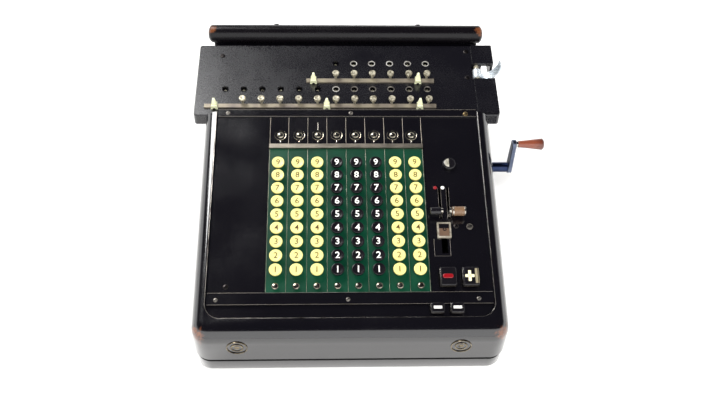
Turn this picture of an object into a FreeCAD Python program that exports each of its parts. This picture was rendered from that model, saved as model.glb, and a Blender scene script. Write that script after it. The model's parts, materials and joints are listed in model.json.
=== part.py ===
"""Full-keyboard crank calculator with a sliding register carriage.

Millimetres, +Z up, +Y to the back, X = 0 on the keyboard centreline of the case.
The origin is the middle of the footprint, on the plane that the feet stand on.
"""
import FreeCAD
import Part
import Sketcher
import os

doc = FreeCAD.newDocument("calculator")

# ---------------------------------------------------------------- driving sizes

DRIVING = {
    # case and base
    "case_width": 271.3,
    "case_wall": 3.0,
    "corner_radius": 15.0,
    "edge_radius": 11.0,
    "foot_height": 2.0,
    "foot_radius": 9.0,
    "foot_inset": 32.0,
    "parting_height": 20.3,
    "base_inset": 1.5,
    "base_floor": 3.0,
    "deck_height": 86.0,
    # sloping panel
    "panel_tilt": 12.0,
    "panel_start": 18.0,
    "panel_height": 57.7,
    "panel_half_width": 124.0,
    "panel_front": -1.0,
    "panel_corner": 13.0,
    "rail_rise": 3.0,
    "plate_thickness": 2.0,
    "plate_gap": 0.1,
    "ledge_width": 2.8,
    # how far a cutting tool goes past the face that it opens
    "tool_over": 1.0,
    # panel divisions, measured up the slope
    "strip_front": 12.0,
    "plates_front": 23.5,
    "divider_front": 168.6,
    "check_front": 173.2,
    "retainer_front": 203.8,
    "retainer_back": 212.4,
    "strip_rise": 0.6,
    "divider_rise": 2.2,
    "retainer_rise": 1.2,
    # keyboard
    "column_count": 8,
    "column_pitch": 18.0,
    "keys_centre": -2.0,
    "row_count": 9,
    "row_pitch": 13.52,
    "first_row": 42.9,
    "key_radius": 5.7,
    "round_sides": 8,
    "key_thick": 2.8,
    "key_travel": 3.0,
    "press_gap": 0.4,
    "stem_width": 5.0,
    "stem_thick": 1.6,
    "slot_gap": 0.3,
    "bar_width": 9.0,
    "bar_thick": 2.5,
    "bar_drop": 6.0,
    "clear_row": 28.2,
    "clear_radius": 3.0,
    "clear_stem": 1.4,
    "clear_thick": 1.8,
    "clear_travel": 2.4,
    "clear_bar_drop": 9.6,
    # check studs: a domed cup over each column, with a tail pin towards the keys
    "bezel_row": 183.0,
    "bezel_pitch": 17.6,
    "bezel_radius": 5.5,
    "bezel_rim": 1.0,
    "bezel_rise": 1.6,
    "bezel_floor": 0.6,
    "dome_radius": 3.4,
    "dome_top": 1.9,
    "dome_rise": 3.0,
    "tail_width": 1.6,
    "tail_reach": 7.4,
    "needle_width": 1.0,
    "needle_reach": 14.6,
    "needle_stud": 3,
    # function keys
    "function_row": 34.6,
    "function_length": 17.8,
    "function_width": 14.6,
    "minus_x": 84.7,
    "plus_x": 104.4,
    "function_thick": 4.6,
    "cap_bevel": 0.9,
    "function_travel": 4.0,
    "function_stem": 6.0,
    "stem_drop": 9.0,
    "tab_left_x": 74.1,
    "tab_right_x": 91.1,
    "tab_row": 6.9,
    "tab_width": 12.0,
    "tab_length": 10.0,
    "tab_thick": 4.6,
    "tab_stem": 4.0,
    "tab_travel": 3.0,
    # sliding levers
    "slot_end": 0.9,
    "lever_left_x": 82.8,
    "lever_right_x": 90.2,
    "lever_rest": 98.0,
    "lever_thick": 1.6,
    "lever_width": 5.0,
    "lever_travel": 25.2,
    "lever_height": 8.0,
    "lever_collar_radius": 2.2,
    "add_collar": 0.5,
    "add_grip_radius": 3.8,
    "add_grip_length": 9.4,
    "count_collar": 1.8,
    "count_grip_radius": 4.4,
    "count_grip_length": 11.2,
    "preset_x": 84.6,
    "preset_row": 82.4,
    "preset_width": 12.6,
    "preset_length": 15.4,
    "preset_thick": 2.2,
    "preset_neck": 5.0,
    "preset_border": 1.6,
    "preset_sink": 1.4,
    "preset_travel": 19.0,
    "selector_x": 93.5,
    "selector_row": 150.5,
    "selector_radius": 6.0,
    "selector_height": 5.0,
    "selector_shaft": 2.5,
    "selector_fin": 1.6,
    # carriage
    "rail_end": 221.3,
    "carriage_clear": 1.3,
    "carriage_height": 98.0,
    "carriage_tilt": 6.0,
    "carriage_depth": 91.5,
    "carriage_half_width": 147.5,
    "carriage_wall": 2.5,
    "carriage_plate": 2.0,
    "carriage_gap": 0.25,
    "carriage_corner": 3.0,
    "carriage_bevel": 0.8,
    "result_count": 12,
    "counter_count": 6,
    "knob_row_lower": 15.3,
    "knob_row_upper": 48.0,
    "window_row_lower": 33.0,
    "window_row_upper": 66.8,
    "window_radius": 3.2,
    "knob_radius": 3.3,
    "knob_top": 8.0,
    "knob_lift": 4.0,
    "spindle_radius": 1.2,
    "spindle_drop": 5.0,
    "wheel_radius": 6.0,
    "wheel_width": 8.0,
    "wheel_gap": 0.5,
    "wheel_faces": 10,
    "axle_radius": 1.5,
    "axle_out": 3.0,
    "bracket_thick": 2.0,
    # decimal rails and markers
    "rail_width": 4.5,
    "rail_thick": 1.6,
    "rail_row_lower": 10.8,
    "rail_row_upper": 43.4,
    "rail_right": 86.0,
    "rail_lower_left": -138.0,
    "rail_upper_left": -40.0,
    "marker_width": 7.0,
    "marker_back": 4.9,
    "marker_tip": 3.1,
    "marker_height": 3.6,
    "marker_gap": 0.2,
    "marker_shoulder": 7.4,
    "marker_top": 12.0,
    "marker_top_width": 1.8,
    "marker_fin_back": 0.9,
    "marker_fin_thick": 2.4,
    "marker_far_left": -128.0,
    "marker_middle": -20.0,
    "marker_right": 70.0,
    "marker_upper_left": -33.0,
    # clearing lever at the right end of the carriage
    "notch_left": 125.0,
    "notch_front": 47.0,
    "notch_back": 66.0,
    "notch_drop": 9.0,
    "lug_thick": 3.0,
    "lug_proud": 0.5,
    "clearing_x": 130.5,
    "clearing_drop": 3.2,
    "clearing_radius": 2.6,
    "clearing_hub": 4.6,
    "blade_front": 49.5,
    "blade_width": 10.0,
    "blade_reach": 19.0,
    "blade_rise": 21.0,
    "blade_thick": 1.4,
    "block_rise": 2.0,
    "block_left": 126.6,
    # crank and rotor
    "shaft_height": 60.0,
    "shaft_row": 189.6,
    "shaft_radius": 4.0,
    "shaft_end": 3.5,
    "hub_radius": 4.8,
    "hub_end": 159.4,
    "running_gap": 0.06,
    "arm_length": 32.0,
    "arm_thick": 4.0,
    "arm_foot": 5.6,
    "arm_head": 4.2,
    "ferrule_radius": 3.0,
    "ferrule_length": 1.6,
    "grip_length": 25.0,
    "grip_root": 3.2,
    "grip_end": 5.6,
    "grip_pin": 1.8,
    "pin_length": 21.0,
    "grip_end_gap": 0.3,
    "pinwheel_radius": 20.0,
    "pinwheel_width": 6.0,
    "pin_count": 9,
    "pin_reach": 4.0,
    "pin_width": 2.4,
    "pin_thick": 3.0,
    "pin_step": 14.0,
    "pedestal_x": 118.0,
    "pedestal_thick": 5.0,
    "pedestal_width": 22.0,
    "pedestal_cap": 8.0,
    # rear cover
    "cover_half_width": 134.0,
    "cover_thick": 12.5,
    "cover_inset": 2.0,
    "roll_gap": 3.4,
    "roll_height": 112.3,
    "roll_radius": 9.0,
    "roll_half_length": 140.0,
    # locks in the front wall
    "lock_left_x": -96.9,
    "lock_right_x": 94.3,
    "lock_height": 40.4,
    "lock_radius": 9.0,
    "lock_cup_radius": 6.6,
    "lock_rim": 0.9,
    "lock_cup_depth": 5.0,
    "lock_stud_radius": 2.6,
}

# Sizes that follow from the ones above.
DERIVED = {
    "carriage_front": "(rail_end + carriage_clear)",
    "case_depth": "(carriage_front + carriage_depth + roll_gap + 2 * roll_radius)",
    "cover_back": "(case_depth - cover_inset)",
    "cover_front": "(cover_back - cover_thick)",
    "roll_row": "(case_depth - roll_radius)",
    "shaft_reach": "(pedestal_x + pedestal_thick / 2 + shaft_end)",
}

sizes = doc.addObject("Spreadsheet::Sheet", "Sizes")
for row, (alias, value) in enumerate(DRIVING.items(), start=1):
    sizes.set("A%d" % row, alias)
    sizes.set("B%d" % row, str(value))
    sizes.setAlias("B%d" % row, alias)
doc.recompute()


def of(text):
    """Expression text in which every driving size is looked up in the sheet."""
    words = []
    word = ""
    for letter in text + " ":
        if letter.isalnum() or letter == "_":
            word += letter
            continue
        if word in DERIVED:
            words.append(of(DERIVED[word]))
        else:
            words.append("Sizes." + word if word in DRIVING else word)
        words.append(letter)
        word = ""
    return "".join(words).strip()


def value_of(text):
    """The number that an expression gives now."""
    return float(sizes.evalExpression(of(text)))


# Small round pieces and holes that repeat have this many sides.
ROUND_SIDES = int(value_of("round_sides"))

# Places are given in three frames. All have X across the machine. The case frame has Y from
# the front wall and Z from the desk; the panel and carriage frames lie on their sloping tops,
# with Y up the slope and Z out of it.
FRAMES = {
    "case": ("-case_depth / 2", "0", "0"),
    "panel": ("panel_start - case_depth / 2", "panel_height", "panel_tilt"),
    "carriage": ("carriage_front - case_depth / 2", "carriage_height", "carriage_tilt"),
}
UP = FreeCAD.Vector(0, 0, 1)
ALONG_X = FreeCAD.Rotation(FreeCAD.Vector(0, 1, 0), 90)
ALONG_Y = FreeCAD.Rotation(FreeCAD.Vector(1, 0, 0), -90)


def put(thing, frame, x="0", y="0", z="0"):
    """Place an object in one of the frames."""
    start, height, tilt = FRAMES[frame]
    thing.setExpression("Placement.Base.x", of(x))
    thing.setExpression("Placement.Base.y", of(f"{start} + ({y}) * cos({tilt}) - ({z}) * sin({tilt})"))
    thing.setExpression("Placement.Base.z", of(f"{height} + ({y}) * sin({tilt}) + ({z}) * cos({tilt})"))
    if tilt != "0":
        thing.Placement.Rotation = FreeCAD.Rotation(FreeCAD.Vector(1, 0, 0), value_of(tilt))
        thing.setExpression("Placement.Rotation.Angle", of(tilt))
    return thing


# ---------------------------------------------------------------- plain solids


def block(frame, x, y, z, length, width, height):
    """A box centred on x, with y and z at its lower corner."""
    box = doc.addObject("Part::Box", "block")
    box.setExpression("Length", of(length))
    box.setExpression("Width", of(width))
    box.setExpression("Height", of(height))
    return put(box, frame, f"{x} - ({length}) / 2", y, z)


def faceted(frame, x, y, z, radius, height, sides):
    """A many-sided bar, for small round pieces that repeat."""
    bar = doc.addObject("Part::Prism", "faceted")
    bar.Polygon = int(sides)
    bar.setExpression("Circumradius", of(radius))
    bar.setExpression("Height", of(height))
    return put(bar, frame, x, y, z)


def cross_prism(x, y, z, radius, length, sides):
    """A many-sided bar along X, in the case frame, with x at its left end."""
    bar = doc.addObject("Part::Prism", "cross_prism")
    bar.Placement.Rotation = ALONG_X
    bar.Polygon = int(sides)
    bar.setExpression("Circumradius", of(radius))
    bar.setExpression("Height", of(length))
    return put(bar, "case", x, y, z)


def round_clear(radius):
    """The corner radius of a many-sided bore in which a round of this radius turns freely."""
    return f"({radius} + running_gap) / cos({90 / ROUND_SIDES})"


def join(name, pieces):
    """One solid out of several that touch or overlap."""
    fuse = doc.addObject("Part::MultiFuse", name)
    fuse.Shapes = pieces
    fuse.Refine = True
    return fuse


def group(name, pieces):
    """Separate like solids that share one node."""
    together = doc.addObject("Part::Compound", name)
    together.Links = pieces
    return together


def cut(name, solid, tools):
    """A solid with the tools taken away from it."""
    result = doc.addObject("Part::Cut", name)
    result.Base = solid
    result.Tool = tools[0] if len(tools) == 1 else group(name + "_tools", tools)
    return result


# ---------------------------------------------------------------- sketched solids


def new_body(name, frame, x="0", y="0", z="0"):
    return put(doc.addObject("PartDesign::Body", name), frame, x, y, z)


def sketch_on(body, role, height="0"):
    """A sketch on one of the body's own planes, lifted by height along its normal."""
    plane = [item for item in body.Origin.OriginFeatures if item.Role == role][0]
    sketch = body.newObject("Sketcher::SketchObject", body.Name + "_sketch")
    sketch.AttachmentSupport = (plane, [""])
    sketch.MapMode = "FlatFace"
    sketch.setExpression("AttachmentOffset.Base.z", of(height))
    return sketch


def pin_point(sketch, line, across, along):
    """Hold the start of a line at a place that expressions give."""
    for kind, text in (("DistanceX", across), ("DistanceY", along)):
        number = sketch.addConstraint(
            Sketcher.Constraint(kind, -1, 1, line, 1, value_of(text)))
        sketch.setExpression("Constraints[%d]" % number, of(text))


def polygon(sketch, corners):
    """A closed outline with straight sides, through corners given as expressions."""
    start = sketch.GeometryCount
    ends = [FreeCAD.Vector(value_of(across), value_of(along), 0) for across, along in corners]
    count = len(corners)
    for index in range(count):
        sketch.addGeometry(Part.LineSegment(ends[index], ends[(index + 1) % count]))
    for index in range(count):
        following = start + (index + 1) % count
        sketch.addConstraint(Sketcher.Constraint("Coincident", start + index, 2, following, 1))
    for index, (across, along) in enumerate(corners):
        pin_point(sketch, start + index, across, along)
    return sketch


def rectangle(sketch, left, right, front, back):
    corners = [(left, front), (right, front), (right, back), (left, back)]
    return polygon(sketch, corners)


def regular(sketch, across, along, radius, sides):
    """A regular outline, for small round pieces that repeat."""
    corners = []
    for index in range(sides):
        angle = 360.0 * (index + 0.5) / sides
        corners.append((f"{across} + ({radius}) * cos({angle})",
                        f"{along} + ({radius}) * sin({angle})"))
    return polygon(sketch, corners)


def circle(sketch, across, along, radius):
    centre = FreeCAD.Vector(value_of(across), value_of(along), 0)
    number = sketch.addGeometry(Part.Circle(centre, FreeCAD.Vector(0, 0, 1), value_of(radius)))
    size = sketch.addConstraint(Sketcher.Constraint("Radius", number, value_of(radius)))
    sketch.setExpression("Constraints[%d]" % size, of(radius))
    for kind, text in (("DistanceX", across), ("DistanceY", along)):
        place = sketch.addConstraint(
            Sketcher.Constraint(kind, -1, 1, number, 3, value_of(text)))
        sketch.setExpression("Constraints[%d]" % place, of(text))
    return sketch


def extrude(body, kind, sketch, length, midplane=False, backwards=False):
    """A Pad or a Pocket of a sketch."""
    feature = body.newObject("PartDesign::" + kind, body.Name + "_" + kind.lower())
    feature.Profile = sketch
    feature.setExpression("Length", of(length))
    if midplane:
        feature.SideType = "Symmetric"
    feature.Reversed = backwards
    body.Tip = feature
    return feature


def ring_sketch(body, role, height, radius, sides):
    """A regular outline round the body's own axis, at a height along it."""
    return regular(sketch_on(body, role, height), "0", "0", radius, sides)


def turned_facets(name, stations, sides):
    """A turned piece with flat facets, through (place along its axis, radius) stations.

    Its axis is Z. Every facet is a plane, so the piece is made face by face.
    """
    rings = []
    for place, radius in stations:
        ring = []
        for index in range(sides):
            turn = FreeCAD.Rotation(UP, 360.0 * index / sides)
            ring.append(turn.multVec(FreeCAD.Vector(value_of(radius), 0, 0)) + UP * value_of(place))
        rings.append(ring)
    outlines = [rings[0][::-1], rings[-1]]
    for low, high in zip(rings, rings[1:]):
        for index in range(sides):
            following = (index + 1) % sides
            outlines.append([low[index], low[following], high[following], high[index]])
    faces = [Part.Face(Part.makePolygon(outline + outline[:1])) for outline in outlines]
    piece = doc.addObject("Part::Feature", name)
    piece.Shape = Part.Solid(Part.Shell(faces))
    return piece


def repeat(body, feature, axis, count, pitch):
    """A row of copies of one feature, along an axis of its own sketch."""
    pattern = body.newObject("PartDesign::LinearPattern", body.Name + "_row")
    pattern.Originals = [feature]
    pattern.Direction = (feature.Profile[0], [axis])
    pattern.setExpression("Occurrences", of(count))
    pattern.setExpression("Length", of(f"({count} - 1) * ({pitch})"))
    body.Tip = pattern
    return pattern


def round_edges(body, radius, wanted):
    """Fillet the edges of the body's solid for which wanted(edge) is true."""
    doc.recompute()
    base = body.Tip
    names = ["Edge%d" % (number + 1) for number, edge in enumerate(base.Shape.Edges) if wanted(edge)]
    fillet = body.newObject("PartDesign::Fillet", body.Name + "_fillet")
    fillet.Base = (base, names)
    fillet.setExpression("Radius", of(radius))
    body.Tip = fillet
    return fillet


def bevel_edges(body, size, wanted):
    """Chamfer the edges of the body's solid for which wanted(edge) is true."""
    doc.recompute()
    base = body.Tip
    names = ["Edge%d" % (number + 1) for number, edge in enumerate(base.Shape.Edges) if wanted(edge)]
    chamfer = body.newObject("PartDesign::Chamfer", body.Name + "_chamfer")
    chamfer.Base = (base, names)
    chamfer.setExpression("Size", of(size))
    body.Tip = chamfer
    return chamfer


def runs_along(edge, direction):
    """True for a straight edge parallel to a direction."""
    if edge.Curve.TypeId != "Part::GeomLine":
        return False
    return abs(abs(edge.Curve.Direction.dot(direction)) - 1) < 1e-6


def middle(edge):
    """The point half-way along an edge, which on an arc isn't half-way between its ends."""
    return edge.valueAt((edge.FirstParameter + edge.LastParameter) / 2)


# ---------------------------------------------------------------- case shell

# Height of the sloping planes above the desk at a distance y behind the front wall.
PANEL_AT = "(panel_height + (({y}) - panel_start) * tan(panel_tilt) + ({rise}) / cos(panel_tilt))"


def panel_at(y, rise):
    return PANEL_AT.format(y=y, rise=rise)


def case_form(name, inset, ceiling, deck, floor):
    """The case's outline from the side, carried across it, with round front and back corners."""
    body = new_body(name, "case")
    side = sketch_on(body, "YZ_Plane")
    polygon(side, [
        (inset, floor),
        (f"case_depth - {inset}", floor),
        (f"case_depth - {inset}", deck),
        (f"rail_end - {inset}", deck),
        (f"rail_end - {inset}", panel_at(f"rail_end - {inset}", ceiling)),
        (inset, panel_at(inset, ceiling)),
    ])
    extrude(body, "Pad", side, f"case_width - 2 * {inset}", midplane=True)
    front = value_of(inset)
    back = value_of("case_depth") - front

    def at_front(edge):
        return runs_along(edge, UP) and abs(middle(edge).y - front) < 1e-3

    def at_back(edge):
        return runs_along(edge, UP) and abs(middle(edge).y - back) < 1e-3

    round_edges(body, f"corner_radius - {inset}", at_front)
    round_edges(body, f"corner_radius / 2 - {inset}", at_back)
    return body


case_outside = case_form("case_outside", "0", "rail_rise", "deck_height", "parting_height")
slope_normal = FreeCAD.Vector(0, -value_of("sin(panel_tilt)"), value_of("cos(panel_tilt)"))
rail_plane = FreeCAD.Vector(0, 0, value_of(panel_at("0", "rail_rise")))


def on_rail_edge(edge):
    """The top edge that runs round the front and up both sides of the panel."""
    ends = [vertex.Point for vertex in edge.Vertexes] + [middle(edge)]
    if any(abs((point - rail_plane).dot(slope_normal)) > 1e-3 for point in ends):
        return False
    return not all(abs(point.y - value_of("rail_end")) < 1e-3 for point in ends)


round_edges(case_outside, "edge_radius", on_rail_edge)

case_inside = case_form(
    "case_inside", "case_wall", "-plate_thickness - case_wall", "deck_height - case_wall",
    "parting_height - tool_over")


def slab(name, frame, left, right, front, back, bottom, top):
    """A flat piece given by its edges."""
    body = new_body(name, frame)
    rectangle(sketch_on(body, "XY_Plane", bottom), left, right, front, back)
    extrude(body, "Pad", body.Group[-1], f"({top}) - ({bottom})")
    return body


# The sunk field of the panel, with round front corners. It is open to the deck at the back.
field = slab("field", "panel", "-panel_half_width", "panel_half_width", "panel_front",
             "rail_end", "-plate_thickness", "rail_rise + tool_over")


def at_field_corner(edge):
    return runs_along(edge, UP) and abs(middle(edge).y - value_of("panel_front")) < 1e-3


round_edges(field, "panel_corner", at_field_corner)

UNDER_SHEET = "(-plate_thickness - case_wall - tool_over)"
THROUGH_WALL = "(case_wall + 2 * tool_over)"
tab_holes = [
    block("panel", x, "tab_row - tab_stem / 2 - slot_gap", UNDER_SHEET, "tab_stem + 2 * slot_gap",
          "tab_stem + 2 * slot_gap", THROUGH_WALL)
    for x in ("tab_left_x", "tab_right_x")]
lock_holes = []
for lock_x in ("lock_left_x", "lock_right_x"):
    hole = doc.addObject("Part::Prism", "lock_hole")
    hole.Placement.Rotation = ALONG_Y
    hole.Polygon = 2 * ROUND_SIDES
    hole.setExpression("Circumradius", of("lock_cup_radius + lock_rim + slot_gap"))
    hole.setExpression("Height", of(THROUGH_WALL))
    lock_holes.append(put(hole, "case", lock_x, "-tool_over", "lock_height"))

case_shell = cut("case_shell", case_outside, [
    case_inside,
    field,
    block("panel", "0", "plates_front + ledge_width", UNDER_SHEET,
          "2 * (panel_half_width - ledge_width)", "retainer_front - plates_front - 2 * ledge_width",
          THROUGH_WALL),
    cross_prism("case_width / 2 - case_wall - tool_over", "shaft_row", "shaft_height",
                round_clear("hub_radius"), THROUGH_WALL, 2 * ROUND_SIDES),
] + tab_holes + lock_holes)

# ---------------------------------------------------------------- base tray and feet

tray = new_body("tray", "case")
rectangle(sketch_on(tray, "XY_Plane", "foot_height"), "-case_width / 2 + base_inset",
          "case_width / 2 - base_inset", "base_inset", "case_depth - base_inset")
extrude(tray, "Pad", tray.Group[-1], "parting_height - foot_height")
tray_back = value_of("case_depth - base_inset")
round_edges(tray, "corner_radius - base_inset",
            lambda edge: runs_along(edge, UP) and middle(edge).y < tray_back / 2)
round_edges(tray, "corner_radius / 2 - base_inset",
            lambda edge: runs_along(edge, UP) and abs(middle(edge).y - tray_back) < 1e-3)
# The hollow has square corners, so it keeps further in than the walls do.
HOLLOW_EDGE = "(case_wall + corner_radius / 4)"
rectangle(sketch_on(tray, "XY_Plane", "foot_height + base_floor"),
          f"-case_width / 2 + {HOLLOW_EDGE}", f"case_width / 2 - {HOLLOW_EDGE}",
          HOLLOW_EDGE, f"case_depth - {HOLLOW_EDGE}")
extrude(tray, "Pocket", tray.Group[-1], "parting_height", backwards=True)


def pedestal(x):
    """A bearing stand for the rotor's shaft, wide at its foot and narrow at its cap."""
    body = new_body("pedestal", "case", x)
    outline = sketch_on(body, "YZ_Plane")
    polygon(outline, [
        ("shaft_row - pedestal_width", "foot_height + base_floor / 2"),
        ("shaft_row + pedestal_width", "foot_height + base_floor / 2"),
        ("shaft_row + pedestal_cap", "shaft_height + pedestal_cap"),
        ("shaft_row - pedestal_cap", "shaft_height + pedestal_cap"),
    ])
    extrude(body, "Pad", outline, "pedestal_thick", midplane=True)
    return body


foot_places = [(x, y)
               for x in ("-case_width / 2 + foot_inset", "case_width / 2 - foot_inset")
               for y in ("foot_inset", "case_depth - foot_inset")]
shaft_bores = [
    cross_prism(f"{x} - pedestal_thick", "shaft_row", "shaft_height", round_clear("shaft_radius"),
                "2 * pedestal_thick", 2 * ROUND_SIDES)
    for x in ("-pedestal_x", "pedestal_x")]
tray_and_stands = join("tray_and_stands", [tray, pedestal("-pedestal_x"), pedestal("pedestal_x")])
base_tray = cut("base_tray", tray_and_stands, shaft_bores)
rubber_feet = group("rubber_feet", [
    faceted("case", x, y, "0", "foot_radius", "foot_height", ROUND_SIDES)
    for x, y in foot_places])

# ---------------------------------------------------------------- panel plates

# A key's top stands so high that its underside clears the plate when it is down.
KEY_TOP = "(key_travel + press_gap + key_thick)"
CLEAR_TOP = "(clear_travel + press_gap + clear_thick)"
FUNCTION_TOP = "(function_travel + press_gap + function_thick)"
TAB_TOP = "(tab_travel + press_gap + tab_thick - plate_thickness)"
KEYS_LEFT = "(keys_centre - column_count * column_pitch / 2)"
KEYS_RIGHT = "(keys_centre + column_count * column_pitch / 2)"
FIRST_COLUMN = "(keys_centre - (column_count - 1) * column_pitch / 2)"
THROUGH_PLATE = "(plate_thickness + 2 * tool_over)"


def plate(name, left, right, front, back, rise="0"):
    """A flat plate of the panel, a hair inside its share of the field."""
    return slab(name, "panel", f"{left} + plate_gap", f"{right} - plate_gap", f"{front} + plate_gap",
                f"{back} - plate_gap", "-plate_thickness", rise)


def slot(x, middle_row, width, length):
    """A tool that cuts a slot right through the panel plates."""
    return block("panel", x, f"{middle_row} - ({length}) / 2", "-plate_thickness - tool_over", width,
                 length, THROUGH_PLATE)


left_cover_plate = plate("left_cover_plate", "-panel_half_width", KEYS_LEFT, "plates_front",
                         "retainer_front")

right_blank = plate("right_blank", KEYS_RIGHT, "panel_half_width", "plates_front", "retainer_front")
LEVER_MIDDLE = "(lever_rest + lever_travel / 2)"
LEVER_SPAN = "(lever_travel + lever_width + 2 * slot_end)"
PRESET_MIDDLE = "(preset_row - preset_travel / 2)"
right_cover_plate = cut("right_cover_plate", right_blank, [
    slot("minus_x", "function_row", "function_stem + 2 * slot_gap", "function_stem + 2 * slot_gap"),
    slot("plus_x", "function_row", "function_stem + 2 * slot_gap", "function_stem + 2 * slot_gap"),
    slot("lever_left_x", LEVER_MIDDLE, "lever_thick + 2 * slot_gap", LEVER_SPAN),
    slot("lever_right_x", LEVER_MIDDLE, "lever_thick + 2 * slot_gap", LEVER_SPAN),
    slot("preset_x", PRESET_MIDDLE, "preset_neck + 2 * slot_gap",
         "(preset_travel + preset_neck + 2 * slot_end)"),
    faceted("panel", "selector_x", "selector_row", "-plate_thickness - tool_over",
            round_clear("selector_shaft"), THROUGH_PLATE, 2 * ROUND_SIDES),
])

# One sheet under the keys: a slot for each of the number keys, and a hole for each clearing key.
key_plate = plate("key_plate", KEYS_LEFT, KEYS_RIGHT, "plates_front", "divider_front")
STEM_HALF = "(stem_width / 2 + slot_gap)"
THICK_HALF = "(stem_thick / 2 + slot_gap)"
key_slot = sketch_on(key_plate, "XY_Plane", "tool_over")
rectangle(key_slot, f"{FIRST_COLUMN} - {STEM_HALF}", f"{FIRST_COLUMN} + {STEM_HALF}",
          f"first_row - {THICK_HALF}", f"first_row + {THICK_HALF}")
slots = extrude(key_plate, "Pocket", key_slot, THROUGH_PLATE)
clear_slot = sketch_on(key_plate, "XY_Plane", "tool_over")
CLEAR_HALF = "(clear_stem + slot_gap)"
rectangle(clear_slot, f"{FIRST_COLUMN} - {CLEAR_HALF}", f"{FIRST_COLUMN} + {CLEAR_HALF}",
          f"clear_row - {CLEAR_HALF}", f"clear_row + {CLEAR_HALF}")
clear_slots = extrude(key_plate, "Pocket", clear_slot, THROUGH_PLATE)
across_rows = key_plate.newObject("PartDesign::MultiTransform", "slot_field")
across_rows.Originals = [slots]
up_rows = key_plate.newObject("PartDesign::LinearPattern", "slot_rows")
up_rows.Direction = (key_slot, ["V_Axis"])
up_rows.setExpression("Occurrences", of("row_count"))
up_rows.setExpression("Length", of("(row_count - 1) * row_pitch"))
over_columns = key_plate.newObject("PartDesign::LinearPattern", "slot_columns")
over_columns.Direction = (key_slot, ["H_Axis"])
over_columns.setExpression("Occurrences", of("column_count"))
over_columns.setExpression("Length", of("(column_count - 1) * column_pitch"))
across_rows.Transformations = [up_rows, over_columns]
key_plate.Tip = across_rows
repeat(key_plate, clear_slots, "H_Axis", "column_count", "column_pitch")

check_strip = plate("check_strip", KEYS_LEFT, KEYS_RIGHT, "check_front", "retainer_front")
COLUMNS = ["(%s + %d * column_pitch)" % (FIRST_COLUMN, number)
           for number in range(int(value_of("column_count")))]


def check_stud(number):
    """A turned cup on the check strip: a rim, a groove, a dome in the middle and a tail pin."""
    x = f"(keys_centre + ({number} - (column_count - 1) / 2) * bezel_pitch)"
    cup = put(turned_facets("cup", [
        ("0", "bezel_radius"), ("bezel_rise", "bezel_radius - bezel_rim"),
        ("bezel_floor", "dome_radius"), ("dome_rise", "dome_top"),
    ], ROUND_SIDES), "panel", x, "bezel_row")
    tail = block("panel", x, "bezel_row - tail_reach", "0", "tail_width",
                 "tail_reach - bezel_radius + bezel_rim", "bezel_rise / 2")
    pieces = [cup, tail]
    if number + 1 == int(value_of("needle_stud")):
        pieces.append(block("panel", x, "bezel_row + bezel_radius - bezel_rim", "0",
                            "needle_width", "needle_reach - bezel_radius + bezel_rim",
                            "bezel_rise / 2"))
    return join("check_stud", pieces)


check_bezels = group("check_bezels", [check_stud(number) for number in range(len(COLUMNS))])

divider_bar = plate("divider_bar", KEYS_LEFT, KEYS_RIGHT, "divider_front", "check_front",
                    "divider_rise")
panel_bars = group("panel_bars", [
    plate("front_strip", "-panel_half_width", "panel_half_width", "strip_front", "plates_front",
          "strip_rise"),
    plate("carriage_retainer", "-panel_half_width", "panel_half_width", "retainer_front",
          "retainer_back", "retainer_rise"),
])

# ---------------------------------------------------------------- keyboard


def key_column(number, x):
    """Nine round keys of one column on the slide bar that carries their stems."""
    body = new_body("key_column_%d" % number, "panel", x)
    bar = sketch_on(body, "XY_Plane", "-bar_drop - bar_thick")
    rectangle(bar, "-bar_width / 2", "bar_width / 2", "first_row - bar_width / 2",
              "first_row + (row_count - 1) * row_pitch + bar_width / 2")
    extrude(body, "Pad", bar, "bar_thick")
    stem = sketch_on(body, "XY_Plane", "-bar_drop - bar_thick / 2")
    rectangle(stem, "-stem_width / 2", "stem_width / 2", "first_row - stem_thick / 2",
              "first_row + stem_thick / 2")
    stems = extrude(body, "Pad", stem, f"bar_drop + bar_thick / 2 + {KEY_TOP} - key_thick / 2")
    repeat(body, stems, "V_Axis", "row_count", "row_pitch")
    top = sketch_on(body, "XY_Plane", f"{KEY_TOP} - key_thick")
    regular(top, "0", "first_row", "key_radius", ROUND_SIDES)
    tops = extrude(body, "Pad", top, "key_thick")
    repeat(body, tops, "V_Axis", "row_count", "row_pitch")
    return body


key_columns = [key_column(number + 1, x) for number, x in enumerate(COLUMNS)]

# The clearing keys of the eight columns, on the bar that resets them together.
clear_bar = block("panel", "keys_centre", "clear_row - bar_width / 4", "-clear_bar_drop - bar_thick",
                  "column_count * column_pitch - bar_width", "bar_width / 2", "bar_thick")
clear_parts = [clear_bar]
for x in COLUMNS:
    clear_parts.append(block("panel", x, "clear_row - clear_stem", "-clear_bar_drop - bar_thick / 2",
                             "2 * clear_stem", "2 * clear_stem",
                             f"clear_bar_drop + bar_thick / 2 + {CLEAR_TOP} - clear_thick / 2"))
    clear_parts.append(faceted("panel", x, "clear_row", f"{CLEAR_TOP} - clear_thick", "clear_radius",
                               "clear_thick", ROUND_SIDES))
column_clear_keys = join("column_clear_keys", clear_parts)


def pushed_key(name, x, row, width, length, top, thick, stem):
    """A square key cap on a square stem that passes through the panel."""
    cap = slab(name + "_cap", "panel", f"{x} - {width} / 2", f"{x} + {width} / 2",
               f"{row} - {length} / 2", f"{row} + {length} / 2", f"{top} - {thick}", top)
    bevel_edges(cap, "cap_bevel", lambda edge: middle(edge).z > value_of(top) - 1e-3)
    post = block("panel", x, f"{row} - {stem} / 2", "-stem_drop", stem, stem,
                 f"stem_drop + {top} - {thick} / 2")
    return join(name, [cap, post])


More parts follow.
